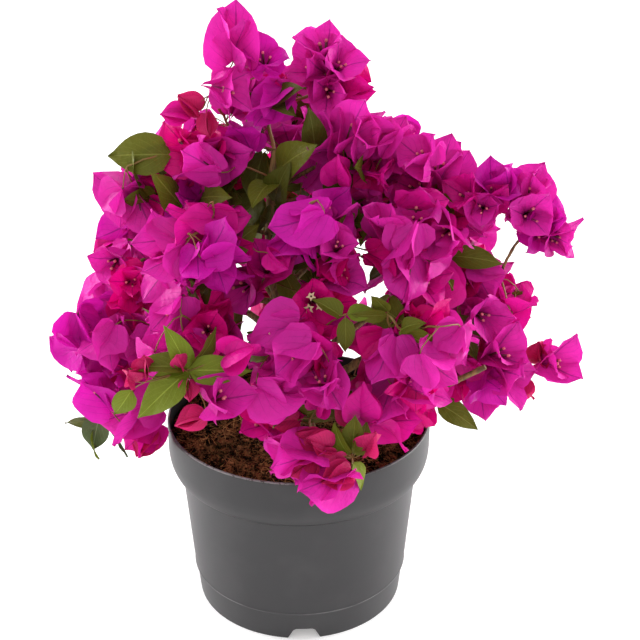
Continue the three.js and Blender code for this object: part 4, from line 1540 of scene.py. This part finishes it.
def make_bracts():
    conf = settings().bush_crown
    rng = np.random.RandomState(conf.seed + 2)
    grades = (0.28, 0.48, 0.72)
    open_flowers = {g: [flower_template(rng, conf.bract_length, g) for _ in range(6)] for g in grades}
    pods = [flower_template(rng, conf.bract_length, 0.02) for _ in range(5)]
    placed = {tint: [] for tint in BRACT_TINTS}
    young = []
    for sprig in crown_plan():
        if sprig.kind not in ("flower", "star", "pod"):
            continue
        matrix = sprig.matrix()
        if sprig.kind == "pod":
            (placed[sprig.tint] if sprig.tint else young).append((pods[rng.randint(len(pods))], matrix))
            continue
        grade = min(grades, key=lambda g: abs(g - sprig.opening))
        template = open_flowers[grade][rng.randint(6)]
        (young if sprig.tint == "young" else placed[sprig.tint]).append((template, matrix))
    for tint, flowers in placed.items():
        colour = BRACT_TINTS[tint]
        rib = tuple(c * f for c, f in zip(colour, (0.42, 0.6, 0.5)))
        material = blade_material("bract_" + tint, colour, 0.28, rib, 0.30, 0.48, veins=6.0)
        nodes = [n for n in MASS_NODES if SLOT_OF[n] == "bracts"] if tint == "bright" else []
        settle(joined_object("bracts_" + tint, flowers, material), "bracts", *nodes)
    material = blade_material("bract_young", POD_TINT, 0.5, (0.22, 0.008, 0.03), 0.25, 0.5, veins=8.0)
    settle(joined_object("young_bracts", young, material), "bracts")


def plain_material(name, colour, roughness):
    shader = Shader(name)
    tone = shader.noise(shader.place(), 240.0, 2.0)
    shade = shader.blend(shader.smooth(tone, 0.3, 0.7), colour, tuple(0.7 * c for c in colour))
    return shader.finish(shader.surface(colour=shade, roughness=roughness))


def make_florets():
    conf = settings().bush_crown
    rng = np.random.RandomState(conf.seed + 3)
    length = 0.48 * conf.bract_length
    tube, bud = floret_templates(length)
    star, eye = star_template(length), dot_template(length)
    tubes, buds, stars, eyes = [], [], [], []
    for sprig in crown_plan():
        if sprig.kind not in ("flower", "star"):
            continue
        whole = sprig.matrix()
        for k in range(3):
            lean = math.radians(9 + 8 * sprig.opening + 3 * rng.randn())
            arm = Matrix.Rotation(2 * math.pi * k / 3, 4, "Z") @ Matrix.Rotation(lean, 4, "Y")
            own = whole @ arm @ Matrix.Scale(0.85 + 0.25 * rng.rand(), 4)
            tubes.append((tube, own))
            if sprig.kind == "star" or rng.rand() < 0.012:
                stars.append((star, own))
                eyes.append((eye, own))
            else:
                buds.append((bud, own))
    for name, placed, colour, roughness in (
            ("floret_tube", tubes, (0.115, 0.006, 0.028), 0.5),
            ("floret_tip", buds, (0.84, 0.20, 0.26), 0.45),
            ("floret_star", stars, (0.86, 0.68, 0.42), 0.6),
            ("floret_eye", eyes, (0.05, 0.03, 0.01), 0.6)):
        settle(joined_object(name + "s", placed, plain_material(name, colour, roughness)), "bracts")


def make_leaves():
    conf = settings().bush_crown
    rng = np.random.RandomState(conf.seed + 4)
    shapes = [blade(rng, conf.leaf_length * (1 + 0.12 * rng.randn()), conf.leaf_length * 0.30, leaf_form(rng))
              for _ in range(10)]
    tints = list(LEAF_TINTS)
    placed = {tint: [] for tint in tints}
    for sprig in crown_plan():
        if sprig.kind not in LEAFY:
            continue
        tint = sprig.tint
        if tint not in LEAF_TINTS:
            tint = tints[rng.choice(len(tints), p=LEAF_CHANCES[sprig.kind])]
        placed[tint].append((shapes[rng.randint(len(shapes))], sprig.matrix()))
    for tint, leaves in placed.items():
        colour = LEAF_TINTS[tint]
        rib = tuple(min(1.0, c * 1.7 + 0.02) for c in colour)
        material = blade_material("leaf_" + tint, colour, 0.35, rib, 0.16, 0.5, veins=6.0)
        nodes = [n for n in MASS_NODES if SLOT_OF[n] == "leaves"] if tint == tints[0] else []
        settle(joined_object("leaves_" + tint, leaves, material), "leaves", *nodes)


# ---- Stage ---------------------------------------------------------------------------------------


def area_light(name, place, aim, size, power, colour=(1, 1, 1)):
    lamp = bpy.data.lights.new(name, "AREA")
    lamp.shape, lamp.size, lamp.energy, lamp.color = "DISK", size, power, colour
    made = bpy.data.objects.new(name, lamp)
    made.location = place
    made.rotation_euler = (Vector(aim) - Vector(place)).to_track_quat("-Z", "Y").to_euler()
    bpy.context.scene.collection.objects.link(made)


def make_stage():
    conf = settings().bush_stage
    bm = bmesh.new()
    bmesh.ops.create_grid(bm, x_segments=1, y_segments=1, size=6.0)
    shader = Shader("pale_floor")
    surface = shader.surface(colour=conf.floor_colour[:], roughness=0.9, emission=(1.0, 1.0, 1.0),
                             emission_strength=conf.floor_glow)
    floor = object_from_bmesh("floor", bm, shader.finish(surface))

    camera = bpy.data.cameras.new("camera")
    camera.lens, camera.sensor_width, camera.clip_end = conf.camera_lens, 36.0, 50.0
    holder = bpy.data.objects.new("camera", camera)
    holder.location = conf.camera_place
    holder.rotation_euler = (math.pi / 2 - conf.camera_pitch, 0, 0)
    bpy.context.scene.collection.objects.link(holder)
    bpy.context.scene.camera = holder

    world = bpy.data.worlds.new("studio")
    world.use_nodes = True
    world.node_tree.nodes["Background"].inputs["Color"].default_value = (1, 1, 1, 1)
    world.node_tree.nodes["Background"].inputs["Strength"].default_value = conf.sky_strength
    bpy.context.scene.world = world
    bpy.context.scene.view_settings.view_transform = "Standard"
    aim = (0.0, 0.0, 0.2)
    area_light("key", (-0.5, -1.4, 1.7), aim, 1.4, 5)
    area_light("left_side", (-1.5, 0.45, 0.5), aim, 1.0, 32)
    area_light("right_side", (1.5, 0.45, 0.5), aim, 1.0, 33)
    area_light("back", (0.3, 1.4, 1.5), aim, 1.0, 10)


# ---- Add-on --------------------------------------------------------------------------------------


class BUSH_OT_stage(bpy.types.Operator):
    """Set the floor, the studio light and the camera"""

    bl_idname = "bush.stage"
    bl_label = "Set Stage"

    def execute(self, context):
        make_stage()
        return {"FINISHED"}


class BUSH_OT_pot(bpy.types.Operator):
    """Turn the nursery pot and cut the notches of its foot"""

    bl_idname = "bush.pot"
    bl_label = "Make Pot"

    def execute(self, context):
        make_pot()
        return {"FINISHED"}


class BUSH_OT_soil(bpy.types.Operator):
    """Fill the pot with soil, crumbs and coir fibres"""

    bl_idname = "bush.soil"
    bl_label = "Make Soil"

    def execute(self, context):
        make_soil()
        return {"FINISHED"}


class BUSH_OT_limbs(bpy.types.Operator):
    """Give the trunk and the boughs their bark"""

    bl_idname = "bush.limbs"
    bl_label = "Make Stems"

    def execute(self, context):
        make_limbs()
        return {"FINISHED"}


class BUSH_OT_twigs(bpy.types.Operator):
    """Grow the twigs from the boughs to every flower and leaf"""

    bl_idname = "bush.twigs"
    bl_label = "Grow Twigs"

    def execute(self, context):
        make_twigs()
        return {"FINISHED"}


class BUSH_OT_bracts(bpy.types.Operator):
    """Set the coloured bracts on the twigs"""

    bl_idname = "bush.bracts"
    bl_label = "Make Bracts"

    def execute(self, context):
        make_bracts()
        return {"FINISHED"}


class BUSH_OT_florets(bpy.types.Operator):
    """Set the small tubular florets between the bracts"""

    bl_idname = "bush.florets"
    bl_label = "Make Florets"

    def execute(self, context):
        make_florets()
        return {"FINISHED"}


class BUSH_OT_leaves(bpy.types.Operator):
    """Set the leaves on the twigs"""

    bl_idname = "bush.leaves"
    bl_label = "Make Leaves"

    def execute(self, context):
        make_leaves()
        return {"FINISHED"}


STEPS = (BUSH_OT_stage, BUSH_OT_pot, BUSH_OT_soil, BUSH_OT_limbs, BUSH_OT_twigs, BUSH_OT_bracts,
         BUSH_OT_florets, BUSH_OT_leaves)
GROUPS = {"bush_pot": PotSettings, "bush_soil": SoilSettings, "bush_limbs": LimbSettings,
          "bush_crown": CrownSettings, "bush_stage": StageSettings}


class BUSH_PT_panel(bpy.types.Panel):
    """The steps of the bush, with the settings of each"""

    bl_idname = "BUSH_PT_panel"
    bl_label = "Bougainvillea"
    bl_space_type = "VIEW_3D"
    bl_region_type = "UI"
    bl_category = "Bougainvillea"

    def draw(self, context):
        for group, kind in GROUPS.items():
            box = self.layout.box()
            for name in kind.__annotations__:
                box.prop(getattr(context.scene, group), name)
        for step in STEPS:
            self.layout.operator(step.bl_idname)


def register():
    for kind in (*GROUPS.values(), *STEPS, BUSH_PT_panel):
        bpy.utils.register_class(kind)
    for name, kind in GROUPS.items():
        setattr(bpy.types.Scene, name, bpy.props.PointerProperty(type=kind))


def unregister():
    for name in GROUPS:
        delattr(bpy.types.Scene, name)
    for kind in (BUSH_PT_panel, *reversed(STEPS), *GROUPS.values()):
        bpy.utils.unregister_class(kind)


def main():
    register()
    bpy.ops.bush.stage()
    bpy.ops.bush.pot()
    bpy.ops.bush.soil()
    bpy.ops.bush.limbs()
    bpy.ops.bush.twigs()
    bpy.ops.bush.bracts()
    bpy.ops.bush.florets()
    bpy.ops.bush.leaves()


if __name__ == "__main__":
    main()
